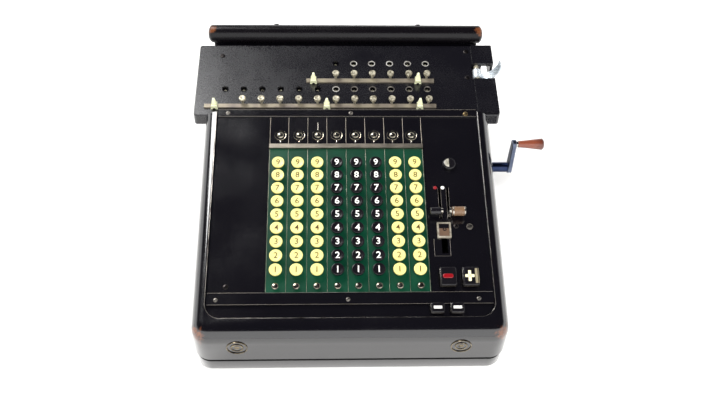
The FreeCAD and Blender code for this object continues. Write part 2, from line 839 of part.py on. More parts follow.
FUNCTION = ("function_row", "function_width", "function_length", FUNCTION_TOP, "function_thick",
            "function_stem")
minus_key = pushed_key("minus_key", "minus_x", *FUNCTION)
plus_key = pushed_key("plus_key", "plus_x", *FUNCTION)
TAB = ("tab_row", "tab_width", "tab_length", TAB_TOP, "tab_thick", "tab_stem")
tab_key_left = pushed_key("tab_key_left", "tab_left_x", *TAB)
tab_key_right = pushed_key("tab_key_right", "tab_right_x", *TAB)

# ---------------------------------------------------------------- panel levers


def slide_lever(name, x, side, collar, radius, length):
    """A flat lever that stands in its slot, with a collar and a round grip out to one side."""
    blade = block("panel", x, "lever_rest - lever_width / 2", "-stem_drop", "lever_thick",
                  "lever_width", f"stem_drop + lever_height + {radius}")
    pieces = [blade]
    for near, far, thick in (("0", f"(lever_thick / 2 + {collar})", "lever_collar_radius"),
                             (f"(lever_thick / 2 + {collar})",
                              f"(lever_thick / 2 + {collar} + {length})", radius)):
        bar = doc.addObject("Part::Prism", name + "_bar")
        bar.Polygon = 2 * ROUND_SIDES
        bar.setExpression("Circumradius", of(thick))
        bar.setExpression("Height", of(f"{far} - {near}"))
        put(bar, "panel", f"{x} + {near}" if side > 0 else f"{x} - {far}", "lever_rest",
            "lever_height")
        bar.setExpression("Placement.Rotation.Angle", None)
        bar.Placement.Rotation = ALONG_X
        pieces.append(bar)
    return join(name, pieces)


add_lever = slide_lever("add_lever", "lever_left_x", -1, "add_collar", "add_grip_radius",
                        "add_grip_length")
count_lever = slide_lever("count_lever", "lever_right_x", 1, "count_collar", "count_grip_radius",
                          "count_grip_length")

preset_frame = cut("preset_frame", slab(
    "preset_cap", "panel", "preset_x - preset_width / 2", "preset_x + preset_width / 2",
    "preset_row - preset_length / 2", "preset_row + preset_length / 2", "plate_gap",
    "plate_gap + preset_thick"), [
    block("panel", "preset_x", "preset_row - preset_length / 2 + preset_border",
          "plate_gap + preset_sink", "preset_width - 2 * preset_border",
          "preset_length - 2 * preset_border", "preset_thick")])
preset_slider = join("preset_slider", [
    preset_frame,
    block("panel", "preset_x", "preset_row - preset_neck / 2", "-stem_drop / 2", "preset_neck",
          "preset_neck", "stem_drop / 2 + preset_thick / 2")])

# The crown of the selector's knob, as shares of its height and of its radius.
CROWN = [(0.5, 1.0), (0.85, 0.8), (1.0, 0.4)]
selector_dome = put(turned_facets("selector_dome", [("plate_gap", "selector_radius")] + [
    (f"selector_height * {high}", f"selector_radius * {wide}") for high, wide in CROWN
], 2 * ROUND_SIDES), "panel", "selector_x", "selector_row")
selector_knob = join("selector_knob", [
    selector_dome,
    faceted("panel", "selector_x", "selector_row", "-stem_drop", "selector_shaft",
            "stem_drop + selector_height / 2", ROUND_SIDES),
    block("panel", "selector_x - selector_radius", "selector_row - selector_fin / 2",
          "selector_height / 4", "selector_radius", "selector_fin", "selector_height / 3")])

# ---------------------------------------------------------------- crank and pinwheel rotor

DISC_SIDES = 12


def pinwheel(x):
    """A disc with its setting pins out, as a toothed outline carried along the shaft."""
    body = new_body("pinwheel", "case", x, "shaft_row", "shaft_height")
    disc = sketch_on(body, "YZ_Plane")
    regular(disc, "0", "0", "pinwheel_radius", DISC_SIDES)
    extrude(body, "Pad", disc, "pinwheel_width", midplane=True)
    tooth = sketch_on(body, "YZ_Plane")
    rectangle(tooth, "-pin_width / 2", "pin_width / 2", "pinwheel_radius - pin_reach",
              "pinwheel_radius + pin_reach")
    pin = extrude(body, "Pad", tooth, "pin_thick", midplane=True)
    ring = body.newObject("PartDesign::PolarPattern", "pins")
    ring.Originals = [pin]
    ring.Axis = (tooth, ["N_Axis"])
    ring.setExpression("Occurrences", of("pin_count"))
    ring.setExpression("Angle", of("(pin_count - 1) * pin_step"))
    body.Tip = ring
    return body


rotor_shaft = cross_prism("-shaft_reach", "shaft_row", "shaft_height", "shaft_radius",
                          "2 * shaft_reach", ROUND_SIDES)
pinwheel_rotor = join("pinwheel_rotor", [rotor_shaft] + [pinwheel(x) for x in COLUMNS])

# The arm tapers between two round ends. Its web meets them at these shares of their radii.
WEB_FOOT = f"(arm_foot * {0.8})"
WEB_HEAD = f"(arm_head * {0.95})"
arm = new_body("arm", "case", "hub_end - arm_thick", "shaft_row", "shaft_height")
for centre, radius in (("0", "arm_foot"), ("arm_length", "arm_head")):
    end = regular(sketch_on(arm, "YZ_Plane"), "0", centre, radius, 2 * ROUND_SIDES)
    extrude(arm, "Pad", end, "arm_thick")
    if centre == "0":
        web = polygon(sketch_on(arm, "YZ_Plane"), [
            (f"-{WEB_FOOT}", "0"), (WEB_FOOT, "0"),
            (WEB_HEAD, "arm_length"), (f"-{WEB_HEAD}", "arm_length")])
        extrude(arm, "Pad", web, "arm_thick")
crank = join("crank", [
    cross_prism("shaft_reach", "shaft_row", "shaft_height", "hub_radius",
                "hub_end - shaft_reach", 2 * ROUND_SIDES),
    arm,
    cross_prism("hub_end - arm_thick / 2", "shaft_row", "shaft_height + arm_length",
                "ferrule_radius", "arm_thick / 2 + ferrule_length", 2 * ROUND_SIDES),
    cross_prism("hub_end", "shaft_row", "shaft_height + arm_length", "grip_pin",
                "ferrule_length + pin_length", ROUND_SIDES),
])

# A pear-wood grip, thin at the arm and full at its end, turning on a pin riveted to the arm.
# Its profile is given as shares of its length, with shares of its root's or its end's radius.
PEAR = [(0.0, "grip_root * 1.0"), (0.2, "grip_root * 1.08"), (0.9, "grip_end * 1.0"),
        (1.0, "grip_end * 0.75")]
grip_turned = turned_facets("grip_turned", [
    (f"grip_length * {along}", radius) for along, radius in PEAR], 2 * ROUND_SIDES)
grip_turned.Placement.Rotation = ALONG_X
put(grip_turned, "case", "hub_end + ferrule_length + grip_end_gap", "shaft_row",
    "shaft_height + arm_length")
crank_grip = cut("crank_grip", grip_turned, [
    cross_prism("hub_end + ferrule_length", "shaft_row", "shaft_height + arm_length",
                round_clear("grip_pin"),
                "pin_length + 2 * grip_end_gap", 2 * ROUND_SIDES)])

# ---------------------------------------------------------------- carriage

DIALS = ["(%s + %d * column_pitch)" % ("keys_centre + (column_count + 1) * column_pitch / 2", -number)
         for number in range(int(value_of("result_count")))]
COUNTERS = DIALS[:int(value_of("counter_count"))]
CARRIAGE_TOP = "(carriage_height + {run} * tan(carriage_tilt) - {drop} / cos(carriage_tilt))"
CARRIAGE_FOOT = "(deck_height + carriage_gap)"


def carriage_form(name, inset, drop, foot):
    """The carriage's outline from the side, carried across its width."""
    body = new_body(name, "case", "0", "carriage_front")
    side = sketch_on(body, "YZ_Plane")
    polygon(side, [
        (inset, foot),
        (f"carriage_depth - {inset}", foot),
        (f"carriage_depth - {inset}",
         CARRIAGE_TOP.format(run=f"(carriage_depth - {inset})", drop=drop)),
        (inset, CARRIAGE_TOP.format(run=inset, drop=drop)),
    ])
    extrude(body, "Pad", side, f"2 * (carriage_half_width - {inset})", midplane=True)
    return body


carriage_outside = carriage_form("carriage_outside", "0", "0", CARRIAGE_FOOT)
round_edges(carriage_outside, "carriage_corner", lambda edge: runs_along(edge, UP))
carriage_rim = value_of("carriage_height - carriage_corner")
bevel_edges(carriage_outside, "carriage_bevel", lambda edge: (
    not runs_along(edge, UP) and middle(edge).z > carriage_rim))
carriage_inside = carriage_form("carriage_inside", "carriage_wall", "carriage_plate",
                                f"{CARRIAGE_FOOT} - tool_over")

WINDOWS = [(x, "window_row_lower") for x in DIALS] + [(x, "window_row_upper") for x in COUNTERS]
KNOBS = [(x, "knob_row_lower") for x in DIALS[:-1]] + [(x, "knob_row_upper") for x in COUNTERS]
UNDER_TOP = "(-carriage_plate - tool_over)"
THROUGH_TOP = "(carriage_plate + 2 * tool_over)"
SPINDLE_SIDES = 6
SPINDLE_BORE = f"((spindle_radius + 2 * running_gap) / cos({180 / SPINDLE_SIDES}))"
window_holes = [
    faceted("carriage", x, row, UNDER_TOP, "window_radius", THROUGH_TOP, ROUND_SIDES)
    for x, row in WINDOWS]
spindle_holes = [
    faceted("carriage", x, row, UNDER_TOP, SPINDLE_BORE, THROUGH_TOP, SPINDLE_SIDES)
    for x, row in KNOBS]
NOTCH_RIGHT = "(carriage_half_width + tool_over)"
notch = block("carriage", f"(notch_left + {NOTCH_RIGHT}) / 2", "notch_front", "-notch_drop",
              f"{NOTCH_RIGHT} - notch_left", "notch_back - notch_front",
              "notch_drop + block_rise + tool_over")
hollow_shell = cut("carriage_blank", carriage_outside,
                   [carriage_inside, notch] + window_holes + spindle_holes)

# Each lug stands a little proud of the notch's wall, and the clearing shaft ends flush with it.
LUG_SEAT = "(lug_thick - lug_proud)"


def lug(front):
    """An ear under the plate that holds one end of the clearing shaft."""
    return block("carriage", "clearing_x", front, "-notch_drop", "4 * clearing_radius",
                 "lug_thick", "notch_drop - carriage_plate / 2")


WHEEL_DROP = "(carriage_plate + wheel_gap + wheel_radius)"


def bracket(x, row):
    """A leaf under the plate that holds one end of a wheel axle."""
    return block("carriage", x, f"{row} - 3 * axle_radius", f"-{WHEEL_DROP} - 2 * axle_radius",
                 "bracket_thick", "6 * axle_radius", f"{WHEEL_DROP} + 2 * axle_radius - carriage_plate / 2")


AXLE_SIDES = 6
AXLE_BORE = f"(axle_radius + running_gap) / cos({180 / AXLE_SIDES})"
AXLE_RIGHT = f"({DIALS[0]} + wheel_width / 2 + axle_out)"
AXLE_LEFT = f"({DIALS[-1]} - wheel_width / 2 - axle_out)"
COUNTER_LEFT = f"({COUNTERS[-1]} - wheel_width / 2 - axle_out)"


def axle_line(left, right, row, radius, sides):
    """A bar along X in the carriage, at the height of the number wheels."""
    bar = doc.addObject("Part::Prism", "axle")
    bar.Polygon = int(sides)
    bar.setExpression("Circumradius", of(radius))
    bar.setExpression("Height", of(f"{right} - ({left})"))
    put(bar, "carriage", left, row, f"-{WHEEL_DROP}")
    bar.setExpression("Placement.Rotation.Angle", None)
    bar.Placement.Rotation = ALONG_X
    return bar


def along_slope(front, back, radius):
    """A bar up the carriage's slope, on the line of the clearing shaft."""
    bar = doc.addObject("Part::Prism", "slope_bar")
    bar.Polygon = 2 * ROUND_SIDES
    bar.setExpression("Circumradius", of(radius))
    bar.setExpression("Height", of(f"{back} - ({front})"))
    put(bar, "carriage", "clearing_x", front, "-clearing_drop")
    bar.setExpression("Placement.Rotation.Angle", of("carriage_tilt - 90"))
    return bar


blocks = [
    slab("upper_block", "carriage", "block_left", "carriage_half_width", "notch_back",
         "carriage_depth - carriage_bevel", "-carriage_plate / 2", "block_rise"),
    slab("lower_block", "carriage", "block_left", "carriage_half_width", "carriage_wall",
         "notch_front", "-carriage_plate / 2", "block_rise / 2"),
]
carriage_solid = join("carriage_solid", [hollow_shell] + blocks + [
    lug(f"notch_front - {LUG_SEAT}"), lug("notch_back - lug_proud"),
    bracket(AXLE_LEFT, "window_row_lower"), bracket(AXLE_RIGHT, "window_row_lower"),
    bracket(COUNTER_LEFT, "window_row_upper"), bracket(AXLE_RIGHT, "window_row_upper")])
carriage_cover = cut("carriage_cover", carriage_solid, [
    axle_line(f"{AXLE_LEFT} - bracket_thick", f"{AXLE_RIGHT} + bracket_thick", "window_row_lower",
              AXLE_BORE, AXLE_SIDES),
    axle_line(f"{COUNTER_LEFT} - bracket_thick", f"{AXLE_RIGHT} + bracket_thick",
              "window_row_upper", AXLE_BORE, AXLE_SIDES),
    along_slope(f"notch_front - {LUG_SEAT} - tool_over", f"notch_back + {LUG_SEAT} + tool_over",
                round_clear("clearing_radius")),
])


def number_wheels(name, places, left, row):
    """The numbered drums of one register, on their common axle."""
    pieces = [axle_line(left, AXLE_RIGHT, row, "axle_radius", AXLE_SIDES)]
    for x in places:
        drum = doc.addObject("Part::Prism", "drum")
        drum.Polygon = int(value_of("wheel_faces"))
        drum.setExpression("Circumradius", of("wheel_radius"))
        drum.setExpression("Height", of("wheel_width"))
        put(drum, "carriage", f"{x} - wheel_width / 2", row, f"-{WHEEL_DROP}")
        drum.setExpression("Placement.Rotation.Angle", None)
        drum.Placement.Rotation = ALONG_X
        pieces.append(drum)
    return join(name, pieces)


result_wheels = number_wheels("result_wheels", DIALS, AXLE_LEFT, "window_row_lower")
counter_wheels = number_wheels("counter_wheels", COUNTERS, COUNTER_LEFT, "window_row_upper")


def twirl_knob(name, x, row):
    """A setting knob: a spindle through the plate, with a milled head above it."""
    return join(name, [
        faceted("carriage", x, row, "-spindle_drop", "spindle_radius",
                "spindle_drop + (knob_lift + knob_top) / 2", SPINDLE_SIDES),
        faceted("carriage", x, row, "knob_lift", "knob_radius", "knob_top - knob_lift",
                ROUND_SIDES)])


result_knobs = [twirl_knob("result_knob_%d" % (number + 1), x, "knob_row_lower")
                for number, x in enumerate(DIALS[:-1])]
counter_knobs = [twirl_knob("counter_knob_%d" % (number + 1), x, "knob_row_upper")
                 for number, x in enumerate(COUNTERS)]

decimal_rails = group("decimal_rails", [
    slab("lower_rail", "carriage", "rail_lower_left", "rail_right", "rail_row_lower - rail_width / 2",
         "rail_row_lower + rail_width / 2", "0", "rail_thick"),
    slab("upper_rail", "carriage", "rail_upper_left", "rail_right", "rail_row_upper - rail_width / 2",
         "rail_row_upper + rail_width / 2", "0", "rail_thick"),
])


def decimal_marker(name, x, row):
    """An arrow that straddles its rail, with a tall fin by which a finger slides it."""
    arrow = new_body(name + "_arrow", "carriage", x, row)
    outline = sketch_on(arrow, "XY_Plane", "marker_gap")
    polygon(outline, [
        ("-marker_width / 2", "-marker_back"),
        ("marker_width / 2", "-marker_back"),
        ("marker_width / 2", "0"),
        ("marker_width / 6", "marker_tip"),
        ("-marker_width / 6", "marker_tip"),
        ("-marker_width / 2", "0"),
    ])
    extrude(arrow, "Pad", outline, "marker_height - marker_gap")
    fin = new_body(name + "_fin", "carriage", x, row)
    upright = sketch_on(fin, "XZ_Plane", "-marker_fin_back")
    polygon(upright, [
        ("-marker_width / 2", "marker_height / 2 + rail_thick / 2"),
        ("marker_width / 2", "marker_height / 2 + rail_thick / 2"),
        ("marker_width / 2", "marker_shoulder"),
        ("marker_top_width / 2", "marker_top"),
        ("-marker_top_width / 2", "marker_top"),
        ("-marker_width / 2", "marker_shoulder"),
    ])
    extrude(fin, "Pad", upright, "marker_fin_thick")
    groove = block("carriage", x, f"{row} - rail_width / 2 - marker_gap", "-tool_over",
                   "marker_width + 2 * tool_over", "rail_width + 2 * marker_gap",
                   "rail_thick + marker_gap + tool_over")
    return cut(name, join(name + "_blank", [arrow, fin]), [groove])


MARKERS = [("lower_marker_left", "marker_far_left", "rail_row_lower"),
           ("lower_marker_middle", "marker_middle", "rail_row_lower"),
           ("lower_marker_right", "marker_right", "rail_row_lower"),
           ("upper_marker_left", "marker_upper_left", "rail_row_upper"),
           ("upper_marker_right", "marker_right", "rail_row_upper")]
markers = [decimal_marker(name, x, row) for name, x, row in MARKERS]

clearing_shaft = along_slope(f"notch_front - {LUG_SEAT}", f"notch_back + {LUG_SEAT}",
                             "clearing_radius")

# The blade leaves its hub flat, curves up through a quarter of an ellipse and ends upright.
blade = new_body("blade", "carriage", "clearing_x", "blade_front + blade_width", "-clearing_drop")
blade_side = sketch_on(blade, "XZ_Plane")
BLADE_STEPS = 7
BLADE_ROOT = f"(clearing_hub * {0.6})"


def blade_curve(reach, rise, foot):
    """Points on a quarter of an ellipse that starts level at foot and ends upright."""
    angles = [90 * step / BLADE_STEPS for step in range(BLADE_STEPS + 1)]
    return [(f"{BLADE_ROOT} + {reach} * sin({angle})", f"{foot} + {rise} * (1 - cos({angle}))")
            for angle in angles]


outer = blade_curve("blade_reach", "blade_rise", "-clearing_hub")
inner = blade_curve("(blade_reach - blade_thick)", "(blade_rise - blade_thick)",
                    "-clearing_hub + blade_thick")
polygon(blade_side, outer + inner[::-1])
extrude(blade, "Pad", blade_side, "blade_width")
hub_outside = along_slope("blade_front", "blade_front + blade_width", "clearing_hub")
clearing_lever = cut("clearing_lever", join("lever_blank", [hub_outside, blade]), [
    along_slope("blade_front - tool_over", "blade_front + blade_width + tool_over",
                round_clear("clearing_radius"))])

# ---------------------------------------------------------------- rear cover and locks

cover_wall = new_body("cover_wall", "case")
cover_side = sketch_on(cover_wall, "YZ_Plane")
rectangle(cover_side, "cover_front", "cover_back", "deck_height", "roll_height")
extrude(cover_wall, "Pad", cover_side, "2 * cover_half_width", midplane=True)
roll = new_body("roll", "case")
circle(sketch_on(roll, "YZ_Plane"), "roll_row", "roll_height", "roll_radius")
extrude(roll, "Pad", roll.Group[-1], "2 * roll_half_length", midplane=True)
rear_roll_cover = join("rear_roll_cover", [cover_wall, roll])


def front_lock(x):
    """A pressed cup in the front wall, with the lock's stud in the middle."""
    body = new_body("lock", "case", x, "0", "lock_height")
    extrude(body, "Pad", ring_sketch(body, "XZ_Plane", "0", "lock_radius", 2 * ROUND_SIDES),
            "lock_rim")
    extrude(body, "Pad", ring_sketch(body, "XZ_Plane", "0", "lock_cup_radius + lock_rim",
                                     2 * ROUND_SIDES), "lock_cup_depth", backwards=True)
    extrude(body, "Pocket", ring_sketch(body, "XZ_Plane", "lock_rim", "lock_cup_radius",
                                        2 * ROUND_SIDES), "lock_cup_depth")
    extrude(body, "Pad", ring_sketch(body, "XZ_Plane", "-lock_cup_depth + lock_rim / 2",
                                     "lock_stud_radius", ROUND_SIDES), "lock_cup_depth")
    return body


front_locks = group("front_locks", [front_lock("lock_left_x"), front_lock("lock_right_x")])

# ---------------------------------------------------------------- check and write

NODES = {
    "base_tray": base_tray,
    "rubber_feet": rubber_feet,
    "case_shell": case_shell,
    "rear_roll_cover": rear_roll_cover,
    "left_cover_plate": left_cover_plate,
    "right_cover_plate": right_cover_plate,
    "key_plate": key_plate,
    "check_strip": check_strip,
    "check_bezels": check_bezels,
    "divider_bar": divider_bar,
    "panel_bars": panel_bars,
    "front_locks": front_locks,
    "crank": crank,
    "crank_grip": crank_grip,
    "pinwheel_rotor": pinwheel_rotor,
    "carriage_cover": carriage_cover,
    "decimal_rails": decimal_rails,
    "clearing_shaft": clearing_shaft,
    "clearing_lever": clearing_lever,
    "result_wheels": result_wheels,
    "counter_wheels": counter_wheels,
    "column_clear_keys": column_clear_keys,
    "minus_key": minus_key,
    "plus_key": plus_key,
    "tab_key_left": tab_key_left,
    "tab_key_right": tab_key_right,
    "add_lever": add_lever,
    "count_lever": count_lever,
    "preset_slider": preset_slider,
    "selector_knob": selector_knob,
}
for solid in key_columns + result_knobs + counter_knobs + markers:
    NODES[solid.Name] = solid

doc.recompute()
for item in doc.Objects:
    if "Invalid" in item.State or "Error" in item.State:
        raise RuntimeError("%s failed: %s" % (item.Name, item.State))
for name, item in NODES.items():
    item.Label = name
    if item.Shape.isNull() or not item.Shape.isValid() or not item.Shape.Solids:
        raise RuntimeError("%s has no valid solid" % name)

os.makedirs("parts", exist_ok=True)
for name, item in NODES.items():
    item.Shape.exportStep("parts/%s.step" % name)
print(len(NODES), "nodes written")
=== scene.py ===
"""Full-keyboard crank calculator: enamelled case, keys, crank and register carriage.

Metres, +Z up, +Y to the back. Each section makes one piece, or one group of like pieces.
"""
import json

import bmesh
import bpy
import numpy as np
from mathutils import Matrix, Vector


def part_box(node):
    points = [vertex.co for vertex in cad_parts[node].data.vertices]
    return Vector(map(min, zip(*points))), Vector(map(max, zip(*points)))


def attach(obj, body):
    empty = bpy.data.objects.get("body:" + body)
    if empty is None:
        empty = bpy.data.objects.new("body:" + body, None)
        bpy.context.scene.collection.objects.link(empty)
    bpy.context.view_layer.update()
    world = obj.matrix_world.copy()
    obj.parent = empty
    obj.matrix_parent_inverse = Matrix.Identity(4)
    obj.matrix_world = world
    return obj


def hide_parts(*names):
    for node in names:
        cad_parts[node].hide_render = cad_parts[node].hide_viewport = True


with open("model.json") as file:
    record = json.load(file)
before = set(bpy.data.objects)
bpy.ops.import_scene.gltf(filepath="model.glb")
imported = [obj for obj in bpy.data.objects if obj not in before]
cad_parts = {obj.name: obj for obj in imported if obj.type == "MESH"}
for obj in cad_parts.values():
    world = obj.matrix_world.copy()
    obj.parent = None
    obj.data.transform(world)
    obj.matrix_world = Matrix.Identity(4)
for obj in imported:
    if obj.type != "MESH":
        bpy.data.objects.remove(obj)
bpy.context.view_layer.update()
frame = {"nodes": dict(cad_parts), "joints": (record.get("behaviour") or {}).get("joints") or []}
joints = {joint["name"]: joint for joint in frame["joints"]}

# ---------------------------------------------------------------- studio
# A white paper table in a room that is white in front and dim above, with two soft boxes. So
# the gloss enamel stays black on top and turns grey where it faces the front.

case_low, case_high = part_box("case_shell")
CAMERA_TARGET = (0.01369, case_low.y + 0.19573, 0.0)
CAMERA_DISTANCE = 0.942
CAMERA_RISE, CAMERA_YAW, CAMERA_ROLL = np.radians((49.6, -3.19, 2.25))
CAMERA_LENS = 46.0


def aim_camera():
    """The camera stands back from its target along its own axis, turned by yaw, rise and roll."""
    eye = bpy.data.cameras.new("camera")
    eye.lens = CAMERA_LENS
    turn = (Matrix.Rotation(CAMERA_YAW, 4, "Z") @ Matrix.Rotation(np.pi / 2 - CAMERA_RISE, 4, "X")
            @ Matrix.Rotation(CAMERA_ROLL, 4, "Z"))
    holder = bpy.data.objects.new("camera", eye)
    holder.matrix_world = Matrix.Translation(CAMERA_TARGET) @ turn @ Matrix.Translation(
        (0, 0, CAMERA_DISTANCE))
    bpy.context.scene.collection.objects.link(holder)
    bpy.context.scene.camera = holder


aim_camera()


def linear(colour):
    """Linear red, green, blue and alpha of an sRGB hex colour."""
    shade = np.array([int(colour[start:start + 2], 16) for start in (1, 3, 5)]) / 255
    shade = np.where(shade > 0.04045, ((shade + 0.055) / 1.055) ** 2.4, shade / 12.92)
    return (*shade, 1.0)


def add(tree, kind, settings=None, links=None):
    """One node, with the values of its sockets and what feeds them."""
    node = tree.nodes.new(kind)
    for key, value in (settings or {}).items():
        if isinstance(key, str) and hasattr(node, key):
            setattr(node, key, value)
        else:
            node.inputs[key].default_value = value
    for key, source in (links or {}).items():
        tree.links.new(source, node.inputs[key])
    return node


FLOOR_REACH = 3.0
table_mesh = bpy.data.meshes.new("table_top")
table_mesh.from_pydata([(-FLOOR_REACH, -FLOOR_REACH, 0), (FLOOR_REACH, -FLOOR_REACH, 0),
                        (FLOOR_REACH, FLOOR_REACH, 0), (-FLOOR_REACH, FLOOR_REACH, 0)], [],
                       [(0, 1, 2, 3)])
table_top = bpy.data.objects.new("table_top", table_mesh)
bpy.context.scene.collection.objects.link(table_top)
paper = bpy.data.materials.new("white_paper")
paper.use_nodes = True
paper.node_tree.nodes["Principled BSDF"].inputs["Base Color"].default_value = linear("#fbfaf8")
paper.node_tree.nodes["Principled BSDF"].inputs["Roughness"].default_value = 0.9
table_mesh.materials.append(paper)

room = bpy.data.worlds.new("room")
room.use_nodes = True
bpy.context.scene.world = room
sky = room.node_tree
sky.nodes.clear()
heading = add(sky, "ShaderNodeTexCoord").outputs["Generated"]
split = add(sky, "ShaderNodeSeparateXYZ", links={0: heading})
# The front of the room is white up to FRONT_TOP. Sideways and behind, only its foot is.
FRONT_TOP, FOOT_TOP, ROOM_DARK, ROOM_LIGHT = np.radians(50), 0.50, "#222228", 1.7
lean = add(sky, "ShaderNodeVectorMath", {"operation": "DOT_PRODUCT",
                                         1: (0, -np.sin(FRONT_TOP), -np.cos(FRONT_TOP))},
           {0: heading})
front = add(sky, "ShaderNodeMapRange", {1: -0.01, 2: 0.05}, {0: lean.outputs["Value"]})
foot = add(sky, "ShaderNodeMapRange", {1: FOOT_TOP, 2: FOOT_TOP - 0.2}, {0: split.outputs["Z"]})
lit = add(sky, "ShaderNodeMath", {"operation": "MAXIMUM"}, {0: front.outputs[0],
                                                            1: foot.outputs[0]})
shade = add(sky, "ShaderNodeMix", {"data_type": "RGBA", 6: linear(ROOM_DARK), 7: linear("#ffffff")},
            {0: lit.outputs[0]})
glow = add(sky, "ShaderNodeBackground", {"Strength": ROOM_LIGHT}, {"Color": shade.outputs[2]})
add(sky, "ShaderNodeOutputWorld", links={"Surface": glow.outputs[0]})
bpy.context.scene.view_settings.view_transform = "Standard"


def soft_box(name, place, aim, size, power, mirrored):
    """An area lamp turned to shine at another place. Gloss shows it only if it is mirrored."""
    lamp = bpy.data.lights.new(name, "AREA")
    lamp.shape = "RECTANGLE"
    lamp.size, lamp.size_y = size
    lamp.energy = power
    stand = bpy.data.objects.new(name, lamp)
    stand.location = place
    stand.rotation_mode = "QUATERNION"
    stand.rotation_quaternion = (Vector(aim) - Vector(place)).to_track_quat("-Z", "Y")
    stand.visible_glossy = mirrored
    bpy.context.scene.collection.objects.link(stand)


soft_box("front_box", (0.3, -1.1, 1.9), (0, 0, 0.05), (1.2, 0.8), 55, False)
soft_box("left_box", (-0.79, 0.85, 1.45), (0, 0, 0.05), (0.8, 0.8), 26, True)

# ---------------------------------------------------------------- base tray
# A shallow sheet-steel tray with round corners. The case stands on its rim, and the dark gap
# between the two is the parting line. It is stove enamelled in black like the case.


def new_finish(name):
    """A new material, its node tree, its shader, and the place on the piece that it colours."""
    finish = bpy.data.materials.new(name)
    finish.use_nodes = True
    tree = finish.node_tree
    place = add(tree, "ShaderNodeTexCoord").outputs["Object"]
    return finish, tree, tree.nodes["Principled BSDF"], place


def noise(tree, place, scale, detail):
    """Clouds from 0 to 1. A metre holds about as many of them as scale says."""
    return add(tree, "ShaderNodeTexNoise", {"Scale": scale, "Detail": detail},
               {"Vector": place}).outputs["Fac"]


def blend(tree, share, first, second):
    """A colour between two others. Each is an sRGB hex, or what another node gives."""
    mix = add(tree, "ShaderNodeMix", {"data_type": "RGBA"}, {0: share})
    for socket, colour in ((6, first), (7, second)):
        if isinstance(colour, str):
            mix.inputs[socket].default_value = linear(colour)
        else:
            tree.links.new(colour, mix.inputs[socket])
    return mix.outputs[2]


def stretch(tree, value, low, high, start=0.0, end=1.0):
    """A value that runs from start to end, turned into one from low to high."""
    return add(tree, "ShaderNodeMapRange", {1: start, 2: end, 3: low, 4: high},
               {0: value}).outputs[0]


def enamel(name, colour, rough, coat=0.7, wear=0.0, index=1.62):
    """Stoved black enamel over steel: a deep gloss film with fine dust and a slow orange peel.

    coat is how much clear gloss lies on top, and index is lower on a dulled film. Where wear is
    above 0, copper-brown primer shows through in small chips.
    """
    finish, tree, film, place = new_finish(name)
    haze = noise(tree, place, 22.0, 5.0)
    both = add(tree, "ShaderNodeMath", {"operation": "MULTIPLY"},
               {0: noise(tree, place, 900.0, 3.0), 1: haze})
    tree.links.new(stretch(tree, both.outputs[0], rough, rough + 0.16, 0.12, 0.42),
                   film.inputs["Roughness"])
    peel = add(tree, "ShaderNodeBump", {"Strength": 0.05, "Distance": 0.0004},
               {"Height": noise(tree, place, 160.0, 1.0)})
    tree.links.new(peel.outputs[0], film.inputs["Normal"])
    film.inputs["IOR"].default_value = index
    film.inputs["Coat Weight"].default_value = coat
    film.inputs["Coat Roughness"].default_value = 0.06
    film.inputs["Coat IOR"].default_value = 1.6
    film.inputs["Base Color"].default_value = linear(colour)
    if wear:
        worn = add(tree, "ShaderNodeAttribute", {"attribute_name": "wear"})
        reach = add(tree, "ShaderNodeMath", {"operation": "MULTIPLY", 1: wear},
                    {0: worn.outputs["Fac"]})
        over = add(tree, "ShaderNodeMath", {"operation": "ADD"},
                   {0: noise(tree, place, 240.0, 6.0), 1: reach.outputs[0]})
        chips = stretch(tree, over.outputs[0], 0.0, 1.0, 0.94, 1.16)
        primer = blend(tree, haze, "#34190f", "#7c4a2c")
        tree.links.new(blend(tree, chips, colour, primer), film.inputs["Base Color"])
    return finish


black_enamel = enamel("stoved_black_enamel", "#08070b", 0.09)


def skin(name, grids, body, finish, around=True, lids=True, sharp=30.0):
    """One mesh out of grids of points, shaped rows by columns by 3.

    Each row is joined to the next, and a row's last point to its first where around is true.
    Lids close the first and the last row. Points that meet are merged.
    """
    faces, points, start = [], [], 0
    for grid in grids:
        rows, columns = grid.shape[:2]
        number = start + np.arange(rows * columns).reshape(rows, columns)
        right = np.roll(number, -1, axis=1) if around else number[:, 1:]
        left = number if around else number[:, :-1]
        faces += np.stack([left[:-1], right[:-1], right[1:], left[1:]], -1).reshape(-1, 4).tolist()
        if around and lids:
            faces += [number[0, ::-1].tolist(), number[-1].tolist()]
        points.append(grid.reshape(-1, 3))
        start += rows * columns
    mesh = bpy.data.meshes.new(name)
    mesh.from_pydata(np.concatenate(points).tolist(), [], faces)
    return dress(name, mesh, body, finish, sharp)


def dress(name, mesh, body, finish, sharp):
    """Close a mesh, turn its faces outwards, smooth it, and make a piece out of it."""
    work = bmesh.new()
    work.from_mesh(mesh)
    bmesh.ops.remove_doubles(work, verts=work.verts, dist=2e-6)
    bmesh.ops.dissolve_degenerate(work, edges=work.edges, dist=1e-7)
    bmesh.ops.recalc_face_normals(work, faces=work.faces)
    work.to_mesh(mesh)
    work.free()
    mesh.polygons.foreach_set("use_smooth", np.ones(len(mesh.polygons), bool))
    mesh.set_sharp_from_angle(angle=np.radians(sharp))
    return set_up(name, mesh, body, finish)


def set_up(name, mesh, body, finish):
    """Make a piece out of a mesh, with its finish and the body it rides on."""
    mesh.materials.append(finish)
    piece = bpy.data.objects.new(name, mesh)
    bpy.context.scene.collection.objects.link(piece)
    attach(piece, body)
    return piece


